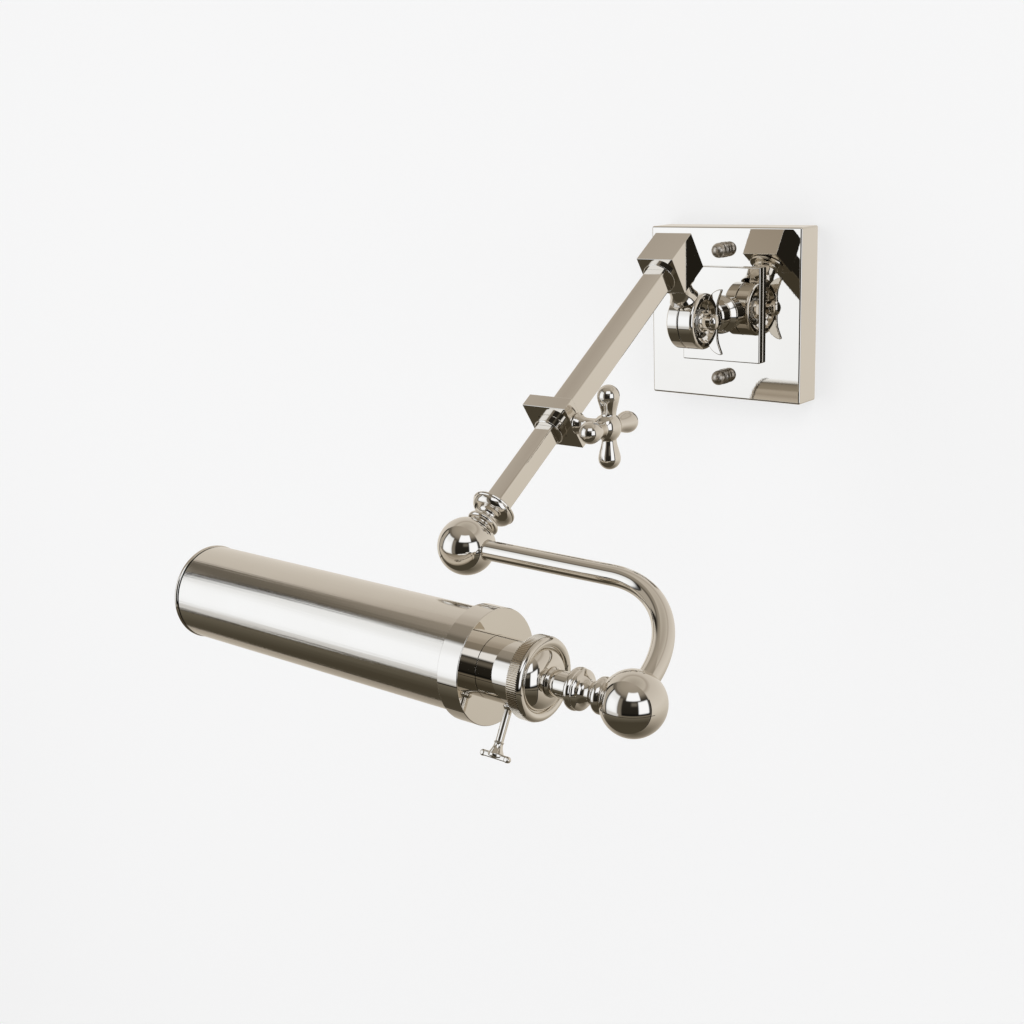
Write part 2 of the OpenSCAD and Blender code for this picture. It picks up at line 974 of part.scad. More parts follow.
module switch_key() {
  color(nickel)
    on_head()
      translate([0, 0, key_at])
        rotate([0, 0, key_angle])
          along_x() {
            translate([0, 0, 6])
              rod(stem_size / 2, 36);
            translate([0, 0, shell_radius + gap])
              turned([[0, 0], [3.2, 0], [3.2, 0.8], [2.5, 1.8], [0, 1.8]]);
            translate([0, 0, 35.6])
              turned([[0, 0], [2.3, 0], [2.7, 0.5], [2.4, 1.1], [2.7, 3], [3.6, 5], [4.2, 6.2], [0, 6.2]]);
            translate([-7.8, -1.6, 41.6])
              cube([15.6, 3.2, 3.4]);
            for (end = [-7.8, 7.8])
              translate([end, -1.6, 43.3])
                rotate([-90, 0, 0]) rod(1.7, 3.2);
          }
}

backplate();
mounting_strap();
strap_studs();
stud_nuts();
ground_screw();
cap_nuts();
raised_plate();
plate_screws();
foot_bolt();
knuckle_base();
pivot_bolt();
friction_washer();
knuckle_swing();
neck_washer();
neck_spindle();
wing_nut();
bolt_washer();
elbow_block();
elbow_grub();
outer_tube();
clamp_block();
clamp_bush();
cross_handle();
clamp_screw();
clamp_pad();
inner_tube();
bell_fitting();
ball_1_spindle();
swivel_ring_1();
ball_1();
j_tube();
ball_2();
swivel_ring_2();
ball_grubs();
stem_spindle();
head_stem();
socket_cap();
knurled_ring();
socket_shell();
socket_core();
switch_body();
screw_shell();
centre_contact();
shade_ring();
shade_collar();
shade_tube();
shade_end_cap();
bulb_base();
bulb_glass();
switch_key();
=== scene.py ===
"""Swing arm wall sconce with a tubular picture-light shade: visible pieces, finishes and stage."""
import math

import bmesh
import bpy
from bpy.props import FloatProperty, FloatVectorProperty, IntProperty, PointerProperty
from mathutils import Matrix, Vector


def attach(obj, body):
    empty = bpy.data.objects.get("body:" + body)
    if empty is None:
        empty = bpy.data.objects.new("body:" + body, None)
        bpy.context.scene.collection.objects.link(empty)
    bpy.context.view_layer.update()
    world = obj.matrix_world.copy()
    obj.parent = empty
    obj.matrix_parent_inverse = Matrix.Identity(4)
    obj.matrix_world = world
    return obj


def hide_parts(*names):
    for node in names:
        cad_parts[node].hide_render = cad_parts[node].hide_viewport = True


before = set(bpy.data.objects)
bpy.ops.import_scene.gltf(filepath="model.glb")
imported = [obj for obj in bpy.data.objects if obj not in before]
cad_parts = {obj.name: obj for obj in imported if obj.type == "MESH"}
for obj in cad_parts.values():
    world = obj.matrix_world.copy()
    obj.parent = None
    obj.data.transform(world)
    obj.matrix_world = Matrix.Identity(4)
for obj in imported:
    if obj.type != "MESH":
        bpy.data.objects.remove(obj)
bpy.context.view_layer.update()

bl_info = {
    "name": "Swing arm wall sconce",
    "version": (1, 0, 0),
    "blender": (4, 5, 0),
    "location": "3D View > Sidebar > Wall sconce",
    "description": "Builds the visible pieces, finishes and stage of a swing arm wall sconce",
    "category": "Object",
}

MM = 0.001


# ---- settings ----

class LampSizes(bpy.types.PropertyGroup):
    pitch: FloatProperty(name="Arm pitch", description="Angle of the arm below horizontal",
                         default=math.radians(33.4), subtype="ANGLE", unit="ROTATION")
    steps: IntProperty(name="Turning steps", description="Facets round a turned piece",
                       default=96, min=24, max=192)
    teeth: IntProperty(name="Knurl teeth", description="Teeth round the knurled ring",
                       default=120, min=24, max=160)
    slot_half_angle: FloatProperty(name="Slot half angle", description="Half the opening of the light slot",
                                   default=math.radians(50), subtype="ANGLE", unit="ROTATION")


class LampFinishes(bpy.types.PropertyGroup):
    nickel: FloatVectorProperty(name="Nickel", description="Colour of the polished nickel",
                                default=(0.80, 0.77, 0.72), size=3, min=0, max=1, subtype="COLOR")
    nickel_shade: FloatVectorProperty(name="Nickel shade", description="Colour of the duller nickel",
                                      default=(0.74, 0.70, 0.64), size=3, min=0, max=1, subtype="COLOR")
    polish: FloatProperty(name="Polish", description="Roughness of the clean nickel",
                          default=0.008, min=0.0, max=0.4, subtype="FACTOR")
    glass: FloatVectorProperty(name="Bulb glass", description="Colour of the frosted bulb",
                               default=(0.92, 0.91, 0.87), size=3, min=0, max=1, subtype="COLOR")


class StageLook(bpy.types.PropertyGroup):
    wall: FloatVectorProperty(name="Wall", description="Colour of the wall and floor",
                              default=(0.30, 0.30, 0.30), size=3, min=0, max=1, subtype="COLOR")
    lens: FloatProperty(name="Lens", description="Focal length of the camera",
                        default=48.54, min=20, max=120)
    light: FloatProperty(name="Light", description="Brightness of the softboxes", default=1.0, min=0, max=4)


def sizes():
    return bpy.context.scene.sconce_sizes


def finishes():
    return bpy.context.scene.sconce_finishes


# ---- places, in metres, in the frame of the CAD ----

PIVOT_OUT = 63
NECK_REACH = 49.5
CLAMP_AT = 152
BALL_REACH = 256
SIDE_REACH = 155
DROP_REACH = 71
BALL_RADIUS = 16.75

# Radii of the holes for studs, screws, bolts and spindles.
STUD_HOLE = 2.3
SCREW_HOLE = 2.05
CLAMP_SCREW_HOLE = 3.05
PIN_HOLE = 3.55
BOLT_HOLE = 4.05
SPINDLE_HOLE = 5.05


def at(x, y, z):
    """A shift in millimetres."""
    return Matrix.Translation((x * MM, y * MM, z * MM))


def turned_about(axis, degrees):
    return Matrix.Rotation(math.radians(degrees), 4, axis)


ALONG_X = turned_about("Y", 90)
TO_ROOM = turned_about("X", 90)


def tilted():
    return at(0, -PIVOT_OUT, 0) @ Matrix.Rotation(sizes().pitch, 4, "X")


def on_arm(x=0, y=0, z=0):
    return tilted() @ at(x, y, NECK_REACH + z)


def along_arm(distance):
    """Z runs outward along the arm."""
    return on_arm(0, -distance, 0) @ TO_ROOM


def toward_elbow():
    """At the first ball, with Z back toward the elbow."""
    return on_arm(0, -BALL_REACH, 0) @ turned_about("X", -90)


def at_ball_1():
    return on_arm(0, -BALL_REACH, 0)


def at_ball_2():
    return at_ball_1() @ at(SIDE_REACH, -DROP_REACH, 0)


def on_head():
    """At the second ball, with Z along the socket and the shade."""
    return at_ball_2() @ turned_about("Y", -90)


# ---- shapes: each returns a bmesh in metres ----

def rounded(profile, radius, cuts=3, sharp=18.0):
    """The profile with every corner sharper than the given degrees turned into a small arc."""
    made = [Vector(profile[0])]
    for before, corner, after in zip(profile, profile[1:], profile[2:]):
        b, c, a = Vector(before), Vector(corner), Vector(after)
        u, v = (b - c), (a - c)
        turn = math.pi - u.angle(v, math.pi)
        if math.degrees(turn) < sharp:
            made.append(c)
            continue
        reach = min(radius * math.tan(turn / 2), 0.45 * u.length, 0.45 * v.length)
        p, q = c + u.normalized() * reach, c + v.normalized() * reach
        for i in range(cuts + 1):
            t = i / cuts
            made.append(p * (1 - t) ** 2 + c * 2 * t * (1 - t) + q * t ** 2)
    made.append(Vector(profile[-1]))
    return made


def flowing(points, cuts=4):
    """A smooth line through the given points."""
    p = [Vector(points[0])] + [Vector(q) for q in points] + [Vector(points[-1])]
    made = []
    for a, b, c, d in zip(p, p[1:], p[2:], p[3:]):
        for i in range(cuts):
            t = i / cuts
            made.append(0.5 * ((2 * b) + (c - a) * t + (2 * a - 5 * b + 4 * c - d) * t * t
                               + (3 * b - a - 3 * c + d) * t ** 3))
    made.append(Vector(points[-1]))
    return made


def arc(radius, height, start, end, cuts=16):
    """Profile points of a circle on the axis at the given height, from one angle to another in degrees."""
    return [(max(0.0, radius * math.cos(math.radians(start + (end - start) * i / cuts))),
             height + radius * math.sin(math.radians(start + (end - start) * i / cuts)))
            for i in range(cuts + 1)]


def spun(profile, edge=0.3, closed=False, steps=None, cuts=3):
    """A profile of radius and height in millimetres, turned about Z."""
    points = [tuple(p) for p in profile]
    if closed:
        points = [points[-1]] + points + [points[0]]
        points = rounded(points, edge, cuts)[1:-1] if edge else points[1:-1]
    elif edge:
        points = rounded(points, edge, cuts)
    bm = bmesh.new()
    verts = [bm.verts.new((p[0] * MM, 0, p[1] * MM)) for p in points]
    edges = [bm.edges.new(pair) for pair in zip(verts, verts[1:])]
    if closed:
        edges.append(bm.edges.new((verts[-1], verts[0])))
    bmesh.ops.spin(bm, geom=verts + edges, cent=(0, 0, 0), axis=(0, 0, 1), dvec=(0, 0, 0),
                   angle=math.tau, steps=steps or sizes().steps, use_merge=True)
    bmesh.ops.remove_doubles(bm, verts=bm.verts, dist=2e-6)
    bmesh.ops.dissolve_degenerate(bm, dist=1e-6, edges=bm.edges)
    bmesh.ops.recalc_face_normals(bm, faces=bm.faces)
    return bm


def rod(radius, start, end, edge=0.0):
    return spun([(0, start), (radius, start), (radius, end), (0, end)], edge)


def only(geom, kind):
    """The vertices or the edges among what an operator has made."""
    return [g for g in geom if isinstance(g, kind)]


def bevelled(bm, edges, width, segments):
    bmesh.ops.bevel(bm, geom=edges, offset=width * MM, offset_type="OFFSET", segments=segments,
                    profile=0.5, affect="EDGES", clamp_overlap=True, material=-1)


def softened(bm, width, angle=30.0, segments=3):
    """Rounds the edges that are sharper than the given angle."""
    bevelled(bm, [e for e in bm.edges if e.is_manifold and e.calc_face_angle(0) > math.radians(angle)],
             width, segments)
    return bm


def block(x, y, z, edge=0.0, segments=3):
    bm = bmesh.new()
    bmesh.ops.create_cube(bm, size=1.0)
    bmesh.ops.scale(bm, vec=(x * MM, y * MM, z * MM), verts=bm.verts)
    return softened(bm, edge, 30, segments) if edge else bm


def square_tube(side, wall, length, edge):
    """A square tube that stands on the origin along Z, open at both ends."""
    bm = block(side, side, length)
    bmesh.ops.translate(bm, vec=(0, 0, length * MM / 2), verts=bm.verts)
    ends = [f for f in bm.faces if abs(f.normal.z) > 0.9]
    bmesh.ops.delete(bm, geom=ends, context="FACES_ONLY")
    bevelled(bm, [e for e in bm.edges if len(e.link_faces) == 2], edge, 3)
    bmesh.ops.recalc_face_normals(bm, faces=bm.faces)
    outward(bm)
    bmesh.ops.solidify(bm, geom=bm.faces, thickness=wall * MM)
    return bm


def outward(bm):
    """Turns an open shell round the Z axis so that its faces look away from the axis."""
    f = max(bm.faces, key=lambda g: g.calc_area())
    centre = f.calc_center_median()
    if f.normal.dot(Vector((centre.x, centre.y, 0))) < 0:
        bmesh.ops.reverse_faces(bm, faces=bm.faces)


def placed(bm, place):
    bmesh.ops.transform(bm, matrix=place, verts=bm.verts)
    return bm


def joined(*shells):
    """The shells side by side in one mesh."""
    made = bmesh.new()
    for shell in shells:
        holder = bpy.data.meshes.new("holder")
        shell.to_mesh(holder)
        made.from_mesh(holder)
        bpy.data.meshes.remove(holder)
        shell.free()
    return made


def held(bm, name):
    mesh = bpy.data.meshes.new(name)
    bm.to_mesh(mesh)
    bm.free()
    made = bpy.data.objects.new(name, mesh)
    bpy.context.scene.collection.objects.link(made)
    return made


def settled(made):
    """The object's mesh with its modifiers applied, as a bmesh. The object is removed."""
    result = bmesh.new()
    shown = made.evaluated_get(bpy.context.evaluated_depsgraph_get())
    result.from_mesh(shown.to_mesh())
    shown.to_mesh_clear()
    mesh = made.data
    bpy.data.objects.remove(made)
    bpy.data.meshes.remove(mesh)
    return result


def combined(operation, body, *tools):
    """The first shape with the others cut out of it or added to it."""
    for tool in tools:
        base, other = held(body, "base"), held(tool, "tool")
        step = base.modifiers.new("combine", "BOOLEAN")
        step.operation, step.object, step.solver = operation, other, "EXACT"
        body = settled(base)
        mesh = other.data
        bpy.data.objects.remove(other)
        bpy.data.meshes.remove(mesh)
    return body


def carved(body, *tools):
    return combined("DIFFERENCE", body, *tools)


def united(body, *others):
    return combined("UNION", body, *others)


def melted(bm, voxel, rounds):
    """One continuous skin over overlapping shells, smoothed where they meet."""
    made = held(bm, "melt")
    remesh = made.modifiers.new("remesh", "REMESH")
    remesh.mode, remesh.voxel_size = "VOXEL", voxel * MM
    smooth = made.modifiers.new("smooth", "SMOOTH")
    smooth.factor, smooth.iterations = 0.5, rounds
    return settled(made)


def piece(name, bm, body, kind="nickel", weighted=True, sharp=40.0):
    """Turns a bmesh into a piece that rides on a body and stands for the CAD node of the same name."""
    for f in bm.faces:
        f.smooth = True
    for e in bm.edges:
        e.smooth = not (e.is_manifold and e.calc_face_angle(0) > math.radians(sharp))
    made = held(bm, name)
    if weighted:
        step = made.modifiers.new("weighted normals", "WEIGHTED_NORMAL")
        step.keep_sharp, step.weight = True, 60
    made.data.materials.append(finish(kind))
    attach(made, body)
    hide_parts(name)
    return made


# ---- finishes ----

class Signal:
    """A socket that takes part in ordinary sums."""

    def __init__(self, paint, socket):
        self.paint, self.socket = paint, socket

    def _sum(self, operation, first, second):
        return self.paint.node("ShaderNodeMath", {"operation": operation}, {0: first, 1: second})

    def __add__(self, other):
        return self._sum("ADD", self, other)

    __radd__ = __add__

    def __sub__(self, other):
        return self._sum("SUBTRACT", self, other)

    def __rsub__(self, other):
        return self._sum("SUBTRACT", other, self)

    def __mul__(self, other):
        return self._sum("MULTIPLY", self, other)

    def __pow__(self, other):
        return self._sum("POWER", self, other)

    def __gt__(self, other):
        return self._sum("GREATER_THAN", self, other)


class Paint:
    """A node tree that is filled one node at a time."""

    def __init__(self, tree):
        self.tree = tree
        tree.nodes.clear()

    def node(self, kind, settings=None, inputs=None, output=0):
        made = self.tree.nodes.new(kind)
        for key, value in (settings or {}).items():
            if key == "stops":
                for extra in value[2:]:
                    made.color_ramp.elements.new(extra[0])
                for stop, (place, colour) in zip(made.color_ramp.elements, value):
                    stop.position, stop.color = place, (*colour, 1.0)
            else:
                setattr(made, key, value)
        for key, value in (inputs or {}).items():
            if isinstance(value, Signal):
                self.tree.links.new(value.socket, made.inputs[key])
            else:
                made.inputs[key].default_value = value
        return Signal(self, made.outputs[output]) if made.outputs else made

    def noise(self, where, scale, detail=3.0, stretch=None):
        if stretch:
            where = self.node("ShaderNodeMapping", None, {"Vector": where, "Scale": stretch})
        return self.node("ShaderNodeTexNoise", None,
                         {"Vector": where, "Scale": scale, "Detail": detail}, "Fac")

    def mixed(self, factor, first, second):
        return self.node("ShaderNodeMix", {"data_type": "RGBA"},
                         {0: factor, 6: first, 7: second}, 2)


def colour(rgb):
    return (*rgb, 1.0)


def new_finish(name):
    material = bpy.data.materials.new(name)
    material.use_nodes = True
    return material, Paint(material.node_tree)


def closed(material, paint, shader):
    paint.node("ShaderNodeOutputMaterial", None, {"Surface": shader})
    return material


def metal(name, base, dull, roughness, smudge=0.025, grain=0.0, bump=0.00001, stretch=None, groove_shade_from=None):
    """Polished or brushed metal: hand marks, fine polishing lines and a soft change of tone.

    Where a groove start is given, the metal beyond that X is painted near-black, as painted shade in the
    groove.
    """
    material, paint = new_finish(name)
    where = paint.node("ShaderNodeTexCoord", output="Object")
    marks = paint.noise(where, 26.0, 4.0)
    clouds = paint.noise(where, 9.0, 2.0)
    fine = paint.noise(where, 900.0, 2.0, stretch or (1.0, 1.0, 0.06))
    pits = paint.noise(where, 2600.0, 1.0)
    worn = (marks - 0.5) * 1.6 + 0.5
    tone = paint.mixed(worn * 0.35 + clouds * 0.25, colour(base), colour(dull))
    if groove_shade_from is not None:
        across = paint.node("ShaderNodeSeparateXYZ", None, {"Vector": where}, "X")
        # Painted shade: near-black tone beyond the groove start, for the shade in the end cap's groove
        tone = paint.mixed(across > groove_shade_from, tone, colour((0.012, 0.011, 0.010)))
    rough = roughness + (marks ** 3.0) * smudge + fine * grain + (pits > 0.78) * 0.02
    height = fine * 0.7 + pits * 0.3
    normal = paint.node("ShaderNodeBump", None, {"Strength": 0.25, "Distance": bump, "Height": height})
    shader = paint.node("ShaderNodeBsdfPrincipled", None,
                        {"Base Color": tone, "Metallic": 1.0, "Roughness": rough, "Normal": normal})
    return closed(material, paint, shader)


def moulded(name, base, worn, roughness, grain=0.08, speck=700.0):
    """Moulded plastic, fibre or paint: mottled tone, a fine skin and scuffs."""
    material, paint = new_finish(name)
    where = paint.node("ShaderNodeTexCoord", output="Object")
    mottle = paint.noise(where, 60.0, 4.0)
    skin = paint.noise(where, speck, 3.0)
    scuff = paint.noise(where, 200.0, 3.0, (1.0, 0.2, 1.0))
    tone = paint.mixed((scuff > 0.66) * 0.35 + mottle * 0.4, colour(base), colour(worn))
    rough = roughness + (mottle - 0.5) * grain + (scuff > 0.66) * 0.08
    normal = paint.node("ShaderNodeBump", None, {"Strength": 0.4, "Distance": 0.00004, "Height": skin})
    shader = paint.node("ShaderNodeBsdfPrincipled", None,
                        {"Base Color": tone, "Roughness": rough, "Normal": normal})
    return closed(material, paint, shader)


def frosted(name, base):
    """White-coated bulb glass: a soft powder coat under a smooth outside."""
    material, paint = new_finish(name)
    where = paint.node("ShaderNodeTexCoord", output="Object")
    powder = paint.noise(where, 300.0, 5.0)
    drift = paint.noise(where, 24.0, 2.0)
    tone = paint.mixed(drift * 0.5 + powder * 0.2, colour(base), colour([c * 0.9 for c in base]))
    normal = paint.node("ShaderNodeBump", None, {"Strength": 0.1, "Distance": 0.00003, "Height": powder})
    shader = paint.node("ShaderNodeBsdfPrincipled", None,
                        {"Base Color": tone, "Roughness": 0.28 + drift * 0.08, "Normal": normal,
                         "Subsurface Weight": 0.25, "Subsurface Scale": 0.002, "Coat Weight": 0.4,
                         "Coat Roughness": 0.08})
    return closed(material, paint, shader)


_made = {}


def finish(kind):
    """The named finish, made once."""
    if kind not in _made:
        f = finishes()
        nickel, shade = list(f.nickel), list(f.nickel_shade)
        makers = {
            "nickel": lambda: metal("polished_nickel", nickel, shade, f.polish),
            "nickel_turned": lambda: metal("turned_nickel", nickel, shade, f.polish, 0.03, 0.006),
            "nickel_drawn": lambda: metal("drawn_nickel", nickel, shade, f.polish + 0.03, 0.03, 0.03, 0.0003,
                                          (0.01, 1.0, 1.0)),
            # Nickel with painted shade in the end cap's groove
            "nickel_groove_shaded": lambda: metal("nickel_painted_groove_shade", nickel, shade, f.polish, 0.03, 0.006,
                                            groove_shade_from=(SIDE_REACH - GROOVE_SHADE_AT) * MM),
            "nickel_satin": lambda: metal("satin_nickel", (0.60, 0.55, 0.48), (0.42, 0.38, 0.33), 0.32, 0.10,
                                          0.03),
            "nickel_knurled": lambda: metal("knurled_nickel", (0.66, 0.60, 0.51), (0.50, 0.45, 0.37),
                                            0.10, 0.05, 0.03, 0.00002),
            "steel": lambda: metal("zinc_steel", (0.58, 0.59, 0.60), (0.45, 0.45, 0.45), 0.26, 0.2, 0.08,
                                   0.00003, (1.0, 0.1, 1.0)),
            "brass": lambda: metal("bare_brass", (0.78, 0.60, 0.30), (0.60, 0.42, 0.20), 0.2, 0.2, 0.06,
                                   0.00003),
            "dark": lambda: moulded("dark_phenolic", (0.020, 0.019, 0.018), (0.06, 0.055, 0.05), 0.42),
            "brown": lambda: moulded("brown_phenolic", (0.10, 0.055, 0.03), (0.16, 0.10, 0.06), 0.32),
            "fibre": lambda: moulded("fibre_washer", (0.035, 0.032, 0.03), (0.09, 0.08, 0.07), 0.7, 0.1,
                                     1500.0),
            "green": lambda: moulded("green_paint", (0.03, 0.20, 0.06), (0.10, 0.30, 0.12), 0.35),
            "glass": lambda: frosted("frosted_bulb", list(f.glass)),
        }
        _made[kind] = makers[kind]()
    return _made[kind]


# ---- pieces ----

PLATE_SIDE, PLATE_DEPTH, PLATE_WALL = 120, 22, 1.5
RAISED = (62, 4.5, 66)
STUD_SPACING = 88.9
SCREW_OUT = 20
DOME_RADIUS, DOME_AT, DOME_DROP = 5.2, 6.7, 2.6


class SCONCE_OT_wall_plate(bpy.types.Operator):
    """Backplate, raised plate and the two domed cap nuts"""
    bl_idname = "sconce.wall_plate"
    bl_label = "Wall plate"

    def execute(self, context):
        shell = block(PLATE_SIDE, PLATE_DEPTH, PLATE_SIDE)
        bmesh.ops.translate(shell, vec=(0, -PLATE_DEPTH * MM / 2, 0), verts=shell.verts)
        back = [f for f in shell.faces if f.normal.y > 0.9]
        bmesh.ops.delete(shell, geom=back, context="FACES_ONLY")
        softened(shell, 1.4, 30, 5)
        bmesh.ops.recalc_face_normals(shell, faces=shell.faces)
        front = min(shell.faces, key=lambda f: f.calc_center_median().y)
        if front.normal.y > 0:
            bmesh.ops.reverse_faces(shell, faces=shell.faces)
        bmesh.ops.solidify(shell, geom=shell.faces, thickness=PLATE_WALL * MM)
        holes = [placed(rod(r, -1, PLATE_DEPTH + 1), at(x, 0, z) @ TO_ROOM)
                 for r, x, z in ((STUD_HOLE, 0, STUD_SPACING / 2), (STUD_HOLE, 0, -STUD_SPACING / 2),
                                 (STUD_HOLE, SCREW_OUT, 0), (STUD_HOLE, -SCREW_OUT, 0), (4.3, 0, 0))]
        shell = carved(shell, *holes)
        piece("backplate", shell, "wall_base")

        raised = placed(block(*RAISED, 0.8, 4), at(0, -PLATE_DEPTH - RAISED[1] / 2, 0))
        holes = [placed(rod(SCREW_HOLE, PLATE_DEPTH - 1, PLATE_DEPTH + 3.5), at(x, 0, 0) @ TO_ROOM)
                 for x in (-SCREW_OUT, SCREW_OUT)]
        raised = carved(raised, *holes, placed(rod(BOLT_HOLE, PLATE_DEPTH - 1, 30), TO_ROOM))
        piece("raised_plate", raised, "wall_base")

        dome = arc(DOME_RADIUS, DOME_AT, math.degrees(math.asin(-DOME_DROP / DOME_RADIUS)), 90, 20)
        profile = [(0, 7.6), (SCREW_HOLE, 7.6), (SCREW_HOLE, 0), (5.0, 0), (5.35, 0.5), (5.4, 1.6),
                   (5.3, 2.8), (4.9, 3.4), (4.3, 3.7)] + dome
        nuts = [placed(spun(profile, 0.2, cuts=2, steps=64),
                       at(0, -PLATE_DEPTH, side * STUD_SPACING / 2) @ TO_ROOM) for side in (-1, 1)]
        piece("cap_nuts", joined(*nuts), "wall_base", "nickel_satin")
        return {"FINISHED"}


KNUCKLE_RADIUS = 19
FIXED_HALF = 9.5
SWING_FROM, SWING_HALF, DISH_DEPTH = 0.25, 11, 4.6
NECK_RADIUS, NECK_TOP = 8, 33.6
WING_THICK = 2.6


class SCONCE_OT_knuckle(bpy.types.Operator):
    """Both halves of the tilting knuckle, the neck, its washer and the wing nut"""
    bl_idname = "sconce.knuckle"
    bl_label = "Knuckle"

    def execute(self, context):
        r = KNUCKLE_RADIUS
        pivot = at(0, -PIVOT_OUT, 0)
        drum = placed(spun([(0, 0), (r - 1.2, 0), (r, 1.2), (r, 9), (0, 9)], 0.7, cuts=4),
                      at(-FIXED_HALF, -PIVOT_OUT, 0) @ ALONG_X)
        lug = placed(block(9, 32.5, 18, 0.5), at(-FIXED_HALF + 4.5, -PIVOT_OUT + 16.25, 0))
        foot = placed(spun([(0, 0), (13.5, 0), (13.5, 1.5), (12, 3.2), (11, 4.2), (11, 13.5), (10, 14.5),
                            (0, 14.5)], 0.6, cuts=4), at(0, -26.5, 0) @ TO_ROOM)
        fixed = united(drum, lug, foot)
        fixed = carved(fixed,
                       placed(rod(BOLT_HOLE, -10.5, 1), pivot @ ALONG_X),
                       placed(rod(6.6, -10.5, -6.3), pivot @ ALONG_X),
                       placed(rod(BOLT_HOLE, 25.5, 38), TO_ROOM))
        piece("knuckle_base", fixed, "wall_base")

        half, floor = SWING_HALF, SWING_HALF - DISH_DEPTH
        dish = [(BOLT_HOLE, 0), (r, 0)] + [(r - 2.4 + x, z) for x, z in arc(2.4, half - 2.4, 0, 90, 8)]
        dish += [(14.6, half), (14.2, half - 1.0), (13.2, half - 2.6), (11.6, half - 3.9), (9.6, floor),
                 (BOLT_HOLE, floor)]
        drum = placed(spun(dish, 0.35, closed=True), tilted() @ at(SWING_FROM, 0, 0) @ ALONG_X)
        neck = [(0, 11), (NECK_RADIUS, 11), (NECK_RADIUS, 19.5)]
        neck += flowing([(10, 19.55), (9.3, 21.0), (8.5, 23.0), (8.05, 25.4), (NECK_RADIUS, 28)], 4)
        neck += [(NECK_RADIUS, NECK_TOP - 3.4), (8.7, NECK_TOP - 2.9), (9.2, NECK_TOP - 2),
                 (9.2, NECK_TOP - 1), (8.4, NECK_TOP), (0, NECK_TOP)]
        side = placed(block(20, 40, 20), at(-10 + SWING_FROM, 0, 9.5))
        neck = placed(carved(spun(neck, 0.3), side), tilted())
        swing = united(drum, neck)
        swing = carved(swing, placed(rod(SPINDLE_HOLE, NECK_TOP - 9, NECK_TOP + 3), tilted()))
        piece("knuckle_swing", swing, "neck")

        washer = spun([(SPINDLE_HOLE, 0), (12.2, 0), (12.5, 0.4), (12.5, 1.4), (12.2, 1.8),
                       (SPINDLE_HOLE, 1.8)], 0.2, closed=True)
        piece("neck_washer", placed(washer, tilted() @ at(0, 0, NECK_TOP)), "neck", "nickel_turned")

        start = SWING_FROM + floor + 0.3 + 1.4
        hub = [(0, 9.5), (BOLT_HOLE, 9.5), (BOLT_HOLE, 0), (7.2, 0), (7.4, 0.8), (7.0, 1.6), (5.6, 2.2),
               (5.6, 9.0)]
        hub += flowing([(5.6, 9.2), (5.2, 10.8), (4.2, 11.8), (2.6, 12.5), (0, 12.8)], 4)
        outline = [(4.2, 2.4), (4.6, 7), (4.2, 11), (4.8, 15.5), (7.0, 18.6), (9.6, 20.6), (12.0, 21.7),
                   (14.3, 22.0), (14.7, 20.8), (13.4, 17.6), (11.8, 13), (11.3, 8), (11.4, 2.4)]
        wings = []
        for turn in (0, 180):
            bm = bmesh.new()
            rim = [bm.verts.new((p.x * MM, -WING_THICK * MM / 2, p.y * MM)) for p in flowing(outline, 4)]
            face = bm.faces.new(rim)
            grown = only(bmesh.ops.extrude_face_region(bm, geom=[face])["geom"], bmesh.types.BMVert)
            bmesh.ops.translate(bm, vec=(0, WING_THICK * MM, 0), verts=grown)
            bmesh.ops.recalc_face_normals(bm, faces=bm.faces)
            wings.append(placed(softened(bm, 1.2, 60, 5), turned_about("X", turn)))
        nut = united(placed(spun(hub, 0.2), ALONG_X), *wings)
        piece("wing_nut", placed(nut, pivot @ at(start, 0, 0)), "thumb_screw")
        return {"FINISHED"}


ELBOW_SIDE = 27.6
MOUTH_RADIUS, MOUTH_LENGTH = 11.4, 2.6
BUSH_RADIUS, BUSH_LENGTH = 9.6, 5.6
OUTER_SIDE, INNER_SIDE, INNER_WALL = 14.8, 12, 1.2
BORE, SLEEVE = INNER_SIDE + 0.16, OUTER_SIDE + 0.1
TUBE_FROM = 6.6
CLAMP_SIDE, CLAMP_THICK = 32, 9.5


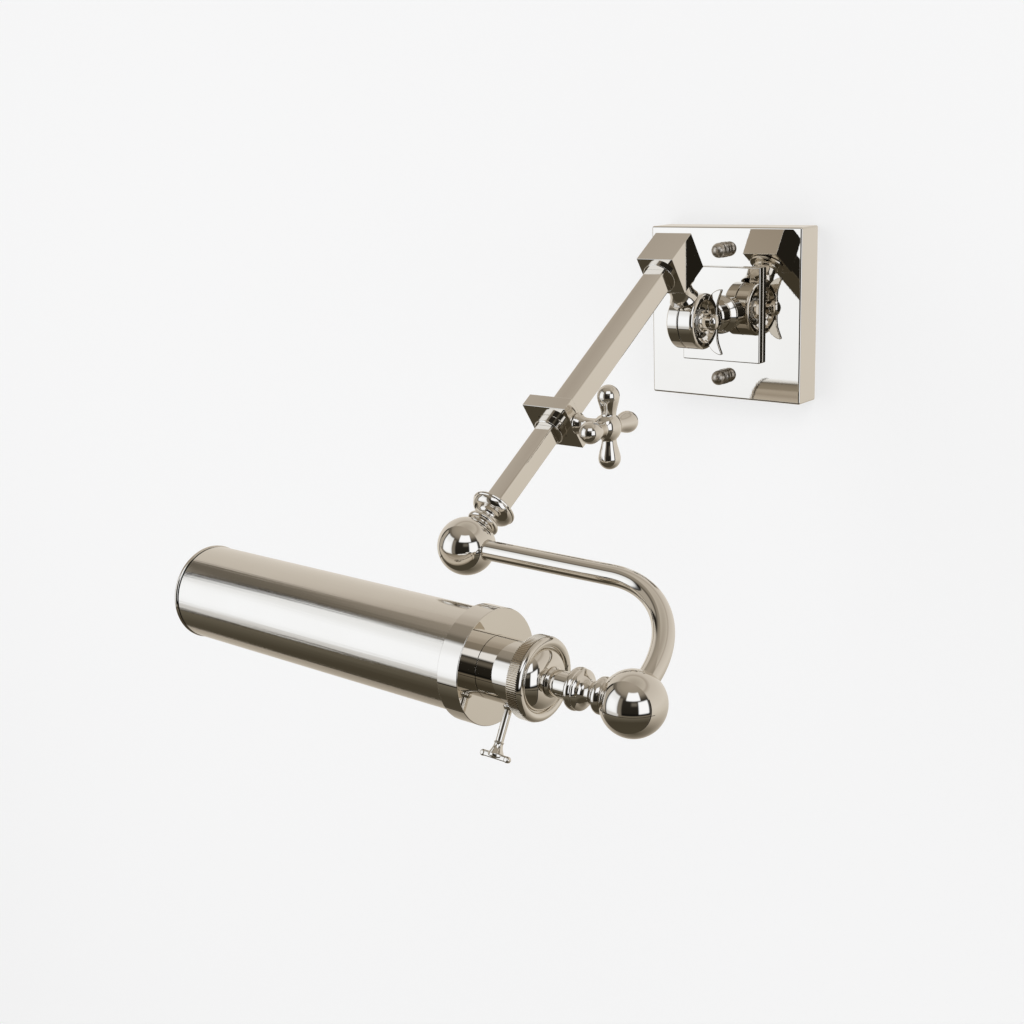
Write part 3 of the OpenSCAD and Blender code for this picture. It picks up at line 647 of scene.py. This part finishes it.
class SCONCE_OT_elbow(bpy.types.Operator):
    """Elbow block, outer tube, clamp block and the bush at its mouth"""
    bl_idname = "sconce.elbow"
    bl_label = "Elbow and outer tube"

    def execute(self, context):
        half = ELBOW_SIDE / 2
        cube = block(ELBOW_SIDE, ELBOW_SIDE, ELBOW_SIDE, 0.35, 3)
        end = half + MOUTH_LENGTH
        mouth = spun([(0, half - 2), (MOUTH_RADIUS, half - 2), (MOUTH_RADIUS, end - 0.4),
                      (MOUTH_RADIUS - 0.4, end), (0, end)], 0.3)
        cube = united(cube, placed(mouth, TO_ROOM))
        sleeve = placed(block(SLEEVE, SLEEVE, 12), at(0, 0, 12.5))
        cube = carved(cube, placed(sleeve, TO_ROOM), rod(SPINDLE_HOLE, -half - 1, 7),
                      placed(rod(SCREW_HOLE, -half - 1, 0), at(0, 0, -2) @ ALONG_X))
        piece("elbow_block", placed(cube, on_arm()), "elbow")

        tube = square_tube(OUTER_SIDE, (OUTER_SIDE - BORE) / 2, CLAMP_AT + CLAMP_THICK / 2 - TUBE_FROM, 1.3)
        tube = carved(tube, placed(rod(3.3, 0, 10), at(0, 0, CLAMP_AT - TUBE_FROM) @ ALONG_X))
        piece("outer_tube", placed(tube, along_arm(TUBE_FROM)), "elbow")

        clamp = block(CLAMP_SIDE, CLAMP_SIDE, CLAMP_THICK, 0.35, 3)
        clamp = carved(clamp, block(SLEEVE, SLEEVE, 20), placed(rod(CLAMP_SCREW_HOLE, 0, 20), ALONG_X))
        piece("clamp_block", placed(clamp, along_arm(CLAMP_AT)), "elbow")

        bush = spun([(0, 0), (BUSH_RADIUS, 0), (BUSH_RADIUS, BUSH_LENGTH - 0.6),
                     (BUSH_RADIUS - 0.6, BUSH_LENGTH), (0, BUSH_LENGTH)], 0.4, cuts=4)
        bush = carved(bush, block(BORE, BORE, 12))
        piece("clamp_bush", placed(bush, along_arm(CLAMP_AT + CLAMP_THICK / 2)), "elbow", "nickel_turned")
        return {"FINISHED"}


HANDLE_OUT, HANDLE_RADIUS, HANDLE_BULB = 39, 25.4, 6.7


class SCONCE_OT_clamp_handle(bpy.types.Operator):
    """Four-armed clamp handle and its flared screw"""
    bl_idname = "sconce.clamp_handle"
    bl_label = "Clamp handle"

    def execute(self, context):
        base = on_arm(0, -CLAMP_AT, 0) @ Matrix.Rotation(-sizes().pitch, 4, "X")
        hub = placed(spun(flowing([(0, 0), (5.4, 0.2), (7.0, 2), (8.2, 5), (8.2, 9), (7.2, 11.5), (5.0, 13.2),
                                   (2.4, 14.2), (0, 14.5)], 3), 0), at(HANDLE_OUT - 7.5, 0, 0) @ ALONG_X)
        peg = flowing([(4.3, 2), (4.15, 5), (4.3, 7.5), (4.8, 10.4), (5.6, 13.3), (6.35, 16)], 4)
        tip = arc(HANDLE_BULB, HANDLE_RADIUS - HANDLE_BULB, -8, 90, 18)
        arms = [placed(spun([(0, 2)] + peg + tip, 0, steps=64),
                       at(HANDLE_OUT, 0, 0) @ turned_about("X", turn)) for turn in (0, 90, 180, 270)]
        handle = melted(joined(hub, *arms), 0.4, 14)
        handle = carved(handle, placed(rod(CLAMP_SCREW_HOLE, HANDLE_OUT - 9, HANDLE_OUT), ALONG_X))
        piece("cross_handle", placed(handle, base), "clamp_handle", weighted=False)

        screw = spun([(0, 0), (3, 0), (3, 9.2), (6.4, 9.2), (6.5, 10)]
                     + flowing([(5.6, 10.9), (4.7, 12.8), (4.15, 15.2), (4.1, 19.2),
                                                   (4.4, 22.8), (4.8, 24.3)], 4)
                     + [(3, 24.3), (3, 30.9), (0, 30.9)], 0.2)
        screw = placed(screw, on_arm(7.1, -CLAMP_AT, 0) @ ALONG_X)
        piece("clamp_screw", screw, "clamp_handle", "nickel_turned")
        return {"FINISHED"}


INNER_LENGTH, BELL_AT = 157, 31


class SCONCE_OT_sliding_arm(bpy.types.Operator):
    """Inner tube and the bell-shaped end fitting"""
    bl_idname = "sconce.sliding_arm"
    bl_label = "Sliding arm"

    def execute(self, context):
        tube = square_tube(INNER_SIDE, INNER_WALL, INNER_LENGTH, 1.1)
        piece("inner_tube", placed(tube, along_arm(BALL_REACH - BELL_AT - INNER_LENGTH)), "sliding_arm")
        bell = [(PIN_HOLE, BELL_AT), (PIN_HOLE, 20.7)]
        bell += flowing([(6.5, 20.7), (6.25, 21.6), (6.5, 22.6), (7.3, 23.6), (8.9, 24.6),
                                            (10.7, 25.6), (12.0, 26.8), (12.7, 28.2), (12.9, 29.0)], 4)
        bell += [(13.4, 29.4), (13.6, 30.0), (13.5, 30.6), (13.0, BELL_AT)]
        plug = placed(block(9.5, 9.5, 8), at(0, 0, BELL_AT + 4))
        fitting = carved(united(spun(bell, 0.2, closed=True, cuts=2), plug), rod(2.5, 20, 50))
        piece("bell_fitting", placed(fitting, toward_elbow()), "sliding_arm", "nickel_turned")
        return {"FINISHED"}


BENT_RADIUS, BENT_WALL, BEND = 5.75, 1.1, 53
TUBE_SEAT = 8
GRUB_AT = 10.8


class SCONCE_OT_j_arm(bpy.types.Operator):
    """Two swivel rings, two balls and the bent tube between them"""
    bl_idname = "sconce.j_arm"
    bl_label = "J arm"

    def execute(self, context):
        r = BALL_RADIUS
        collar_1 = [(PIN_HOLE, 14), (6.8, 14), (7.0, 16)]
        collar_1 += flowing([(7.6, 16.1), (8.9, 16.5), (9.6, 17.3), (9.7, 18), (9.5, 18.9), (8.8, 19.7),
                             (7.8, 20.3)], 4)
        collar_1 += [(PIN_HOLE, 20.4)]
        collar_2 = [(PIN_HOLE, 13.6), (6.8, 13.6)]
        collar_2 += flowing([(7.6, 14.4), (8.6, 15.2), (9.3, 16.4), (9.5, 17.6), (9.2, 18.8), (8.2, 19.8)], 4)
        collar_2 += [(7.4, 20.2), (PIN_HOLE, 20.2)]
        for number, profile, place in ((1, collar_1, toward_elbow()), (2, collar_2, on_head())):
            ring = spun(profile, 0.15, closed=True, cuts=2)
            ring = carved(ring, spun(arc(r + 0.02, 0, -90, 90, 48), 0))
            piece(f"swivel_ring_{number}", placed(ring, place), "j_arm", "nickel_turned")

        back, left = turned_about("X", -90), turned_about("Y", -90)
        for number, place, pin, tube, grub in ((1, at_ball_1(), back, ALONG_X, at(0, GRUB_AT, 0) @ left),
                                               (2, at_ball_2(), left, back, at(-GRUB_AT, 0, 0) @ TO_ROOM)):
            ball = spun(arc(r, 0, -90, 90, 64), 0, steps=128)
            seat = spun([(0, 7.5), (5.8, 7.5), (5.8, 15.5), (6.1, 15.65), (6.1, 20), (0, 20)], 0)
            ball = carved(placed(ball, tube), placed(seat, tube), placed(rod(PIN_HOLE, 6, 20), pin),
                          placed(rod(1.55, 3, 20), grub))
            piece(f"ball_{number}", placed(ball, place), "j_arm", "nickel_turned")

        bm = bmesh.new()
        straight, drop = SIDE_REACH - BEND, DROP_REACH - BEND - TUBE_SEAT
        made = bmesh.ops.create_circle(bm, cap_ends=False, radius=BENT_RADIUS * MM, segments=48,
                                       matrix=at(TUBE_SEAT, 0, 0) @ ALONG_X)
        edges = list({e for v in made["verts"] for e in v.link_edges})
        for step in ("straight", "bend", "drop"):
            if step == "bend":
                grown = bmesh.ops.spin(bm, geom=edges + list({v for e in edges for v in e.verts}),
                                       cent=(straight * MM, -BEND * MM, 0), axis=(0, 0, 1), dvec=(0, 0, 0),
                                       angle=-math.pi / 2, steps=64)["geom_last"]
                edges = only(grown, bmesh.types.BMEdge)
                continue
            shift = ((straight - TUBE_SEAT) * MM, 0, 0) if step == "straight" else (0, -drop * MM, 0)
            grown = only(bmesh.ops.extrude_edge_only(bm, edges=edges)["geom"], bmesh.types.BMEdge)
            edges = [e for e in grown if len(e.link_faces) < 2]
            bmesh.ops.translate(bm, vec=shift, verts=list({v for e in edges for v in e.verts}))
        bmesh.ops.remove_doubles(bm, verts=bm.verts, dist=1e-6)
        bmesh.ops.recalc_face_normals(bm, faces=bm.faces)
        first = max(bm.faces, key=lambda f: f.calc_center_median().z)
        if first.normal.z < 0:
            bmesh.ops.reverse_faces(bm, faces=bm.faces)
        bmesh.ops.solidify(bm, geom=bm.faces, thickness=BENT_WALL * MM)
        piece("j_tube", placed(bm, at_ball_1()), "j_arm")
        return {"FINISHED"}


KEY_AT, KEY_ANGLE = 70.5, 242
SHELL_RADIUS = 17
STEM_SHAFT = 7.05
KNURL_RADIUS, KNURL_DEPTH, KNURL_AT, KNURL_LENGTH = 22, 0.6, 55, 6


def on_key():
    """Z runs out along the stem of the switch key."""
    return on_head() @ at(0, 0, KEY_AT) @ turned_about("Z", KEY_ANGLE) @ ALONG_X


class SCONCE_OT_socket(bpy.types.Operator):
    """Turned stem, socket cap, knurled ring, socket shell and switch key"""
    bl_idname = "sconce.socket"
    bl_label = "Socket"

    def execute(self, context):
        shaft = STEM_SHAFT
        stem = [(2.5, 58.5), (2.5, 30.5), (PIN_HOLE, 30.5), (PIN_HOLE, 20.5)]
        stem += flowing([(6.5, 20.5), (6.75, 21.2), (6.15, 22.6), (5.95, 24.4), (6.3, 26.0), (7.6, 27.4),
                         (9.2, 28.4), (10.2, 29.2), (10.5, 29.9), (10.3, 30.5)], 4)
        stem += [(9.8, 30.9)]
        stem += flowing([(10.5, 31.3), (10.95, 32.3), (10.95, 33.4), (10.5, 34.4), (9.2, 35.0),
                         (7.6, 35.3)], 4)
        stem += [(shaft, 35.7), (shaft, 46.6), (7.4, 47.1), (7.9, 47.6), (7.9, 48.1), (shaft, 48.2),
                 (shaft, 58.5)]
        stem = spun(stem, 0.15, closed=True, cuts=2)
        piece("head_stem", placed(stem, on_head()), "lamp_head", "nickel_turned")

        cap = [(shaft + 0.05, 48.45)]
        cap += [(6.5 + x, z) for x, z in arc(11, 59.4, -82, -28, 16)]
        cap += [(16.25, 54.9), (16.75, 54.9)]
        cap += flowing([(16.85, 53.9), (17.4, 53.0), (18.4, 52.5), (19.4, 52.4), (20.5, 52.8), (21.4, 53.6),
                        (21.8, 54.6)], 4)
        cap += [(21.6, 54.7), (17.4, 54.7), (16.6, 55.3), (15.8, 55.5), (14.8, 54.4), (13.5, 52.8),
                (11.8, 51.4), (9.9, 50.4), (8.2, 49.9), (shaft + 0.05, 49.8)]
        piece("socket_cap", placed(spun(cap, 0, closed=True), on_head()), "lamp_head", "nickel_turned")

        teeth = sizes().teeth
        knurl = bmesh.new()
        bmesh.ops.create_circle(knurl, cap_ends=True, radius=KNURL_RADIUS * MM, segments=teeth * 4)
        ordered = sorted(knurl.verts, key=lambda v: math.atan2(v.co.y, v.co.x))
        for i, v in enumerate(ordered):
            if i % 4 in (0, 1):
                v.co *= 1 - KNURL_DEPTH / KNURL_RADIUS
        grown = only(bmesh.ops.extrude_face_region(knurl, geom=list(knurl.faces))["geom"], bmesh.types.BMVert)
        bmesh.ops.translate(knurl, vec=(0, 0, KNURL_LENGTH * MM), verts=grown)
        bmesh.ops.recalc_face_normals(knurl, faces=knurl.faces)
        ends = spun([(21.3, -1), (24, -1), (24, 7), (21.3, 7), (21.3, 6.6), (22.1, 5.8), (22.1, 0.2),
                     (21.3, -0.6)], 0, closed=True)
        knurl = carved(knurl, ends, rod(SHELL_RADIUS + 0.05, -1, KNURL_LENGTH + 1))
        knurl = placed(knurl, on_head() @ at(0, 0, KNURL_AT))
        piece("knurled_ring", knurl, "lamp_head", "nickel_knurled", sharp=25)

        shell = spun([(16.3, 55.7), (SHELL_RADIUS, 55.7), (SHELL_RADIUS, 84.8), (16.3, 84.8)], 0.1,
                     closed=True)
        hole = placed(rod(3.4, 0, 30), at(0, 0, KEY_AT) @ turned_about("Z", KEY_ANGLE) @ ALONG_X)
        piece("socket_shell", placed(carved(shell, hole), on_head()), "lamp_head", "nickel_turned")

        rise = [(0, 6), (2.1, 6), (2.1, 17.3), (3.2, 17.3), (3.2, 18.1), (2.5, 19.1), (2.1, 19.4),
                (2.1, 35.6)]
        rise += flowing([(2.3, 35.8), (2.65, 36.2), (2.3, 36.8), (2.4, 38.0), (2.8, 39.4), (3.5, 40.9),
                         (4.0, 41.9)], 3)
        rise = spun(rise + [(4.0, 42.2), (0, 42.2)], 0.1, cuts=2, steps=48)
        bar = placed(block(14.8, 2.8, 3.1, 0.9, 4), at(0, 0, 43.2))
        end = [(0, -1.6), (1.1, -1.6), (1.7, -0.9), (1.7, 0.9), (1.1, 1.6), (0, 1.6)]
        ends = [placed(spun(end, 0.4, steps=32), at(x, 0, 43.3) @ TO_ROOM) for x in (-7.8, 7.8)]
        boss = spun([(0, 40.4), (3.1, 40.4), (4.1, 42.0), (4.0, 43.4), (0, 44.2)], 0)
        bow = melted(joined(bar, *ends, boss), 0.2, 4)
        key = joined(rise, bow)
        piece("switch_key", placed(key, on_key()), "key")
        return {"FINISHED"}


DISC_AT, SHADE_END, SHADE_RADIUS, SHADE_WALL = 85, 315, 28, 0.9
SLOT_FROM, SLOT_TO = 106, 304
# The second value is where the painted shade of the end cap's groove begins
CAP_AT, GROOVE_SHADE_AT = SHADE_END - 3, SHADE_END - 2.7


class SCONCE_OT_shade(bpy.types.Operator):
    """Collar, slotted shade tube and end cap"""
    bl_idname = "sconce.shade"
    bl_label = "Shade"

    def execute(self, context):
        collar = spun([(16.25, 0), (30.7, 0), (31, 0.3), (31, 13.2), (30.6, 13.6), (28.05, 13.6),
                       (28.05, 12.2), (29.8, 12.2), (29.8, 1.2), (16.25, 1.2)], 0.25, closed=True, steps=144)
        piece("shade_collar", placed(collar, on_head() @ at(0, 0, DISC_AT)), "lamp_head", "nickel_turned")

        bm = bmesh.new()
        levels = [DISC_AT + 1.4, SLOT_FROM, SLOT_TO, CAP_AT - 1]
        verts = [bm.verts.new((SHADE_RADIUS * MM, 0, z * MM)) for z in levels]
        edges = [bm.edges.new(pair) for pair in zip(verts, verts[1:])]
        bmesh.ops.spin(bm, geom=verts + edges, cent=(0, 0, 0), axis=(0, 0, 1), dvec=(0, 0, 0),
                       angle=math.tau, steps=180, use_merge=True)
        bmesh.ops.remove_doubles(bm, verts=bm.verts, dist=1e-6)
        limit = math.cos(sizes().slot_half_angle)
        gone = [f for f in bm.faces
                if SLOT_FROM * MM < f.calc_center_median().z < SLOT_TO * MM
                and -f.calc_center_median().x / f.calc_center_median().xy.length > limit]
        bmesh.ops.delete(bm, geom=gone, context="FACES")
        bmesh.ops.recalc_face_normals(bm, faces=bm.faces)
        outward(bm)
        bmesh.ops.solidify(bm, geom=bm.faces, thickness=SHADE_WALL * MM)
        softened(bm, 0.2, 50, 2)
        piece("shade_tube", placed(bm, on_head()), "lamp_head", "nickel_drawn")

        cap = [(0, 0), (26.6, 0), (26.6, -8), (26.95, -8), (26.95, 0)]
        cap += [(27.1 + x, z) for x, z in arc(1.4, 1.5, -90, 90, 12)]
        cap += [(26.8, 2.4), (26.5, 1.8), (26.0, 1.5), (0, 1.4)]
        cap = placed(spun(cap, 0.25, steps=144), on_head() @ at(0, 0, CAP_AT))
        # The end cap's finish paints shade into its groove
        piece("shade_end_cap", cap, "lamp_head", "nickel_groove_shaded")
        return {"FINISHED"}


class SCONCE_OT_bulb(bpy.types.Operator):
    """Frosted glass of the tubular bulb; its screw base stays the CAD part"""
    bl_idname = "sconce.bulb"
    bl_label = "Bulb"

    def execute(self, context):
        glass = [(0, 101), (12.6, 101), (12.8, 104)]
        glass += flowing([(13.2, 106), (14.2, 109), (14.9, 112.5), (15, 115), (15, 226), (14.5, 229.6),
                          (13.0, 232.6), (10.2, 234.6), (5.6, 235.8), (0, 236)], 5)
        piece("bulb_glass", placed(spun(glass, 0), on_head()), "lamp_head", "glass")
        return {"FINISHED"}


INNER_FINISH = {
    "steel": ["mounting_strap", "strap_studs", "stud_nuts", "plate_screws", "foot_bolt", "pivot_bolt",
              "bolt_washer", "neck_spindle", "elbow_grub", "ball_1_spindle", "ball_grubs", "stem_spindle",
              "shade_ring"],
    "brass": ["screw_shell", "centre_contact", "bulb_base"],
    "dark": ["socket_core"],
    "brown": ["switch_body"],
    "fibre": ["friction_washer", "clamp_pad"],
    "green": ["ground_screw"],
}


class SCONCE_OT_inner_finishes(bpy.types.Operator):
    """Finishes of the strap, bolts, spindles, washers and socket parts"""
    bl_idname = "sconce.inner_finishes"
    bl_label = "Inner finishes"

    def execute(self, context):
        for kind, nodes in INNER_FINISH.items():
            for name in nodes:
                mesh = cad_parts[name].data
                mesh.materials.clear()
                mesh.materials.append(finish(kind))
        return {"FINISHED"}


# ---- stage ----

def heading(azimuth, elevation):
    """Unit direction; azimuth 0 is toward the room, 90 to the right of the plate."""
    a, e = math.radians(azimuth), math.radians(elevation)
    return Vector((math.sin(a) * math.cos(e), -math.cos(a) * math.cos(e), math.sin(e)))


LAMP_CENTRE = Vector((0.06, -0.25, -0.07))

# Surroundings that the polished metal mirrors: radiance by elevation in degrees.
ROOM_SIDE = ((-90, (0.075, 0.064, 0.043)), (-42, (0.070, 0.059, 0.040)), (-30, (0.13, 0.115, 0.085)),
             (-21, (0.20, 0.175, 0.135)), (-17, (0.004, 0.004, 0.004)), (-10, (0.02, 0.018, 0.014)),
             (28, (0.03, 0.027, 0.022)), (36, (0.10, 0.088, 0.07)), (47, (0.30, 0.265, 0.22)),
             (58, (0.37, 0.33, 0.27)), (90, (0.44, 0.39, 0.33)))
WALL_SIDE = ((-90, (0.10, 0.085, 0.06)), (-60, (0.24, 0.21, 0.165)), (-38, (0.48, 0.43, 0.36)),
             (-18, (0.72, 0.67, 0.59)), (-4, (0.78, 0.73, 0.66)), (14, (0.74, 0.69, 0.62)),
             (42, (0.66, 0.61, 0.545)), (52, (0.47, 0.42, 0.36)), (58, (0.60, 0.55, 0.48)),
             (74, (0.50, 0.455, 0.39)), (90, (0.44, 0.39, 0.33)))

# Left, right, low and high edge in degrees, softness of the edges, radiance.
PANELS = (
    (-90, -64, -20, 34, 4, (0.46, 0.42, 0.36)),
    (-92, -86, 8, 34, 2, (0.02, 0.018, 0.015)),
    (-94, -91.5, -75, 30, 0.8, (0.03, 0.026, 0.02)),
    (91.5, 95.5, -75, 24, 0.8, (0.015, 0.013, 0.01)),
    (-84, -22, 39, 44, 2, (0.17, 0.15, 0.12)),
    (-21, -5, -21, 33, 4, (0.24, 0.215, 0.18)),
    (-68, -62.5, -23, 38, 0.8, (0.02, 0.018, 0.014)),
    (-62, -20, -22, 37, 3, (1.00, 1.035, 1.08)),
    (-60, -24, -12, 22, 9, (1.17, 1.22, 1.30)),
    (-62, -16, -22, -15, 3, (0.72, 0.72, 0.72)),
    (8, 62, 30, 57, 3, (1.20, 1.24, 1.32)),
    (52, 86, -13, 26, 3, (1.20, 1.24, 1.32)),
    (28, 48, 14, 25, 5, (0.17, 0.155, 0.13)),
    (-110, 110, -25.5, -24, 0.5, (0.01, 0.009, 0.007)),
)


def softbox(name, left, right, low, high, distance, radiance):
    """A soft rectangular light that fills the given range of directions seen from the lamp."""
    away = heading((left + right) / 2, (low + high) / 2)
    width = 2 * distance * math.tan(math.radians(right - left) / 2) * math.cos(math.radians((low + high) / 2))
    height = 2 * distance * math.tan(math.radians(high - low) / 2)
    light = bpy.data.lights.new(name, "AREA")
    light.shape, light.size, light.size_y = "RECTANGLE", width, height
    light.energy = radiance * math.pi * width * height * bpy.context.scene.sconce_stage.light
    made = bpy.data.objects.new(name, light)
    facing = away.to_track_quat("Z", "Y").to_matrix().to_4x4()
    made.matrix_world = Matrix.Translation(LAMP_CENTRE + away * distance) @ facing
    made.visible_camera = made.visible_glossy = False
    bpy.context.scene.collection.objects.link(made)
    return made


def plain_sheet(name, width, depth, place, paint_as):
    bm = bmesh.new()
    bmesh.ops.create_grid(bm, x_segments=1, y_segments=1, size=0.5)
    bmesh.ops.scale(bm, vec=(width, depth, 1), verts=bm.verts)
    made = held(placed(bm, place), name)
    made.data.materials.append(paint_as)
    return made


def wall_paint():
    """Pale matt wall that is seen only from the room side."""
    tint = list(bpy.context.scene.sconce_stage.wall)
    material, paint = new_finish("pale_wall")
    where = paint.node("ShaderNodeTexCoord", output="Object")
    grain = paint.noise(where, 30.0, 3.0)
    tone = paint.mixed(grain * 0.03, colour(tint), colour([c * 0.97 for c in tint]))
    face = paint.node("ShaderNodeBsdfPrincipled", None,
                      {"Base Color": tone, "Roughness": 0.9, "Specular IOR Level": 0.0,
                       "Emission Color": colour((1, 1, 1)), "Emission Strength": 0.635})
    clear = paint.node("ShaderNodeBsdfTransparent")
    back = paint.node("ShaderNodeNewGeometry", output="Backfacing")
    return closed(material, paint, paint.node("ShaderNodeMixShader", None, {0: back, 1: face, 2: clear}))


class SCONCE_OT_stage(bpy.types.Operator):
    """Pale wall and floor, softboxes, surroundings and camera"""
    bl_idname = "sconce.stage"
    bl_label = "Stage"

    def execute(self, context):
        paint_as = wall_paint()
        wall = plain_sheet("stage_wall", 8, 5, at(0, 0.5, 1200) @ TO_ROOM, paint_as)
        floor = plain_sheet("stage_floor", 8, 5, at(0, -2500, -1300), paint_as)
        for sheet in (wall, floor):
            sheet.visible_glossy = False
        self.lights()
        self.surroundings(context.scene)
        self.camera(context.scene)
        context.scene.view_settings.view_transform = "Standard"
        return {"FINISHED"}

    def lights(self):
        softbox("softbox_left", -62, -20, -20, 36, 1.6, 1.35)
        softbox("softbox_top", 8, 62, 30, 57, 1.6, 1.5)
        softbox("softbox_right", 52, 87, -9, 27, 1.6, 1.5)

    def surroundings(self, scene):
        world = bpy.data.worlds.new("surroundings")
        scene.world = world
        world.use_nodes = True
        paint = Paint(world.node_tree)
        where = paint.node("ShaderNodeTexCoord", output="Generated")
        x, y, z = (paint.node("ShaderNodeSeparateXYZ", None, {0: where}, axis) for axis in range(3))
        turn = paint.node("ShaderNodeMath", {"operation": "ARCTAN2"}, {0: x, 1: y * -1.0}) * math.degrees(1)
        rise = paint.node("ShaderNodeMath", {"operation": "ARCSINE"}, {0: z}) * math.degrees(1)
        around = paint.node("ShaderNodeMath", {"operation": "ABSOLUTE"}, {0: turn})

        def slope(value, start, end):
            return paint.node("ShaderNodeMapRange", {"interpolation_type": "SMOOTHSTEP"},
                              {0: value, 1: start, 2: end, 3: 0.0, 4: 1.0})

        def window(value, low, high, soft):
            return slope(value, low - soft, low + soft) * (1.0 - slope(value, high - soft, high + soft))

        def ladder(steps):
            """Colours by elevation in degrees."""
            share = paint.node("ShaderNodeMapRange", None, {0: rise, 1: -90.0, 2: 90.0, 3: 0.0, 4: 1.0})
            stops = [((e + 90) / 180, c) for e, c in steps]
            return paint.node("ShaderNodeValToRGB", {"stops": stops}, {0: share})

        room_side = ladder(ROOM_SIDE)
        wall_side = ladder(WALL_SIDE)
        seen = paint.mixed(slope(around, 89, 96), room_side, wall_side)
        for left, right, low, high, soft, tint in PANELS:
            mask = window(turn, left, right, soft) * window(rise, low, high, soft)
            seen = paint.mixed(mask, seen, colour(tint))
        direct = paint.node("ShaderNodeLightPath", output="Is Camera Ray")
        plain = paint.mixed(direct, seen, colour((0.913, 0.913, 0.913)))
        shine = paint.node("ShaderNodeBackground", None, {"Color": plain, "Strength": 1.0})
        paint.node("ShaderNodeOutputWorld", None, {"Surface": shine})

    def camera(self, scene):
        data = bpy.data.cameras.new("camera")
        data.lens, data.sensor_width = scene.sconce_stage.lens, 36
        data.clip_start, data.clip_end = 0.01, 100
        made = bpy.data.objects.new("camera", data)
        yaw, pitch, roll = 39.91, -14.94, -2.21
        forward = Vector((-math.sin(math.radians(yaw)) * math.cos(math.radians(pitch)),
                          math.cos(math.radians(yaw)) * math.cos(math.radians(pitch)),
                          math.sin(math.radians(pitch))))
        level = forward.to_track_quat("-Z", "Y").to_matrix().to_4x4()
        made.matrix_world = (Matrix.Translation((0.50573, -0.86712, 0.12123)) @ level
                             @ Matrix.Rotation(math.radians(roll), 4, "Z"))
        scene.collection.objects.link(made)
        scene.camera = made


# ---- add-on ----

STEPS = (SCONCE_OT_wall_plate, SCONCE_OT_knuckle, SCONCE_OT_elbow, SCONCE_OT_clamp_handle,
         SCONCE_OT_sliding_arm, SCONCE_OT_j_arm, SCONCE_OT_socket, SCONCE_OT_shade, SCONCE_OT_bulb,
         SCONCE_OT_inner_finishes, SCONCE_OT_stage)
GROUPS = {"sconce_sizes": LampSizes, "sconce_finishes": LampFinishes, "sconce_stage": StageLook}


class SCONCE_PT_panel(bpy.types.Panel):
    """Lists the sconce's settings and its building steps"""
    bl_idname = "SCONCE_PT_panel"
    bl_label = "Wall sconce"
    bl_space_type = "VIEW_3D"
    bl_region_type = "UI"
    bl_category = "Wall sconce"

    def draw(self, context):
        for key, group in GROUPS.items():
            box = self.layout.box()
            for name in group.__annotations__:
                box.prop(getattr(context.scene, key), name)
        for step in STEPS:
            self.layout.operator(step.bl_idname)


def register():
    for cls in (*GROUPS.values(), *STEPS, SCONCE_PT_panel):
        bpy.utils.register_class(cls)
    for key, group in GROUPS.items():
        setattr(bpy.types.Scene, key, PointerProperty(type=group))


def unregister():
    for key in GROUPS:
        delattr(bpy.types.Scene, key)
    for cls in reversed((*GROUPS.values(), *STEPS, SCONCE_PT_panel)):
        bpy.utils.unregister_class(cls)


def main():
    register()
    for step in STEPS:
        group, name = step.bl_idname.split(".")
        if getattr(getattr(bpy.ops, group), name)() != {"FINISHED"}:
            raise RuntimeError(f"{step.bl_label} did not finish")


if __name__ == "__main__":
    main()
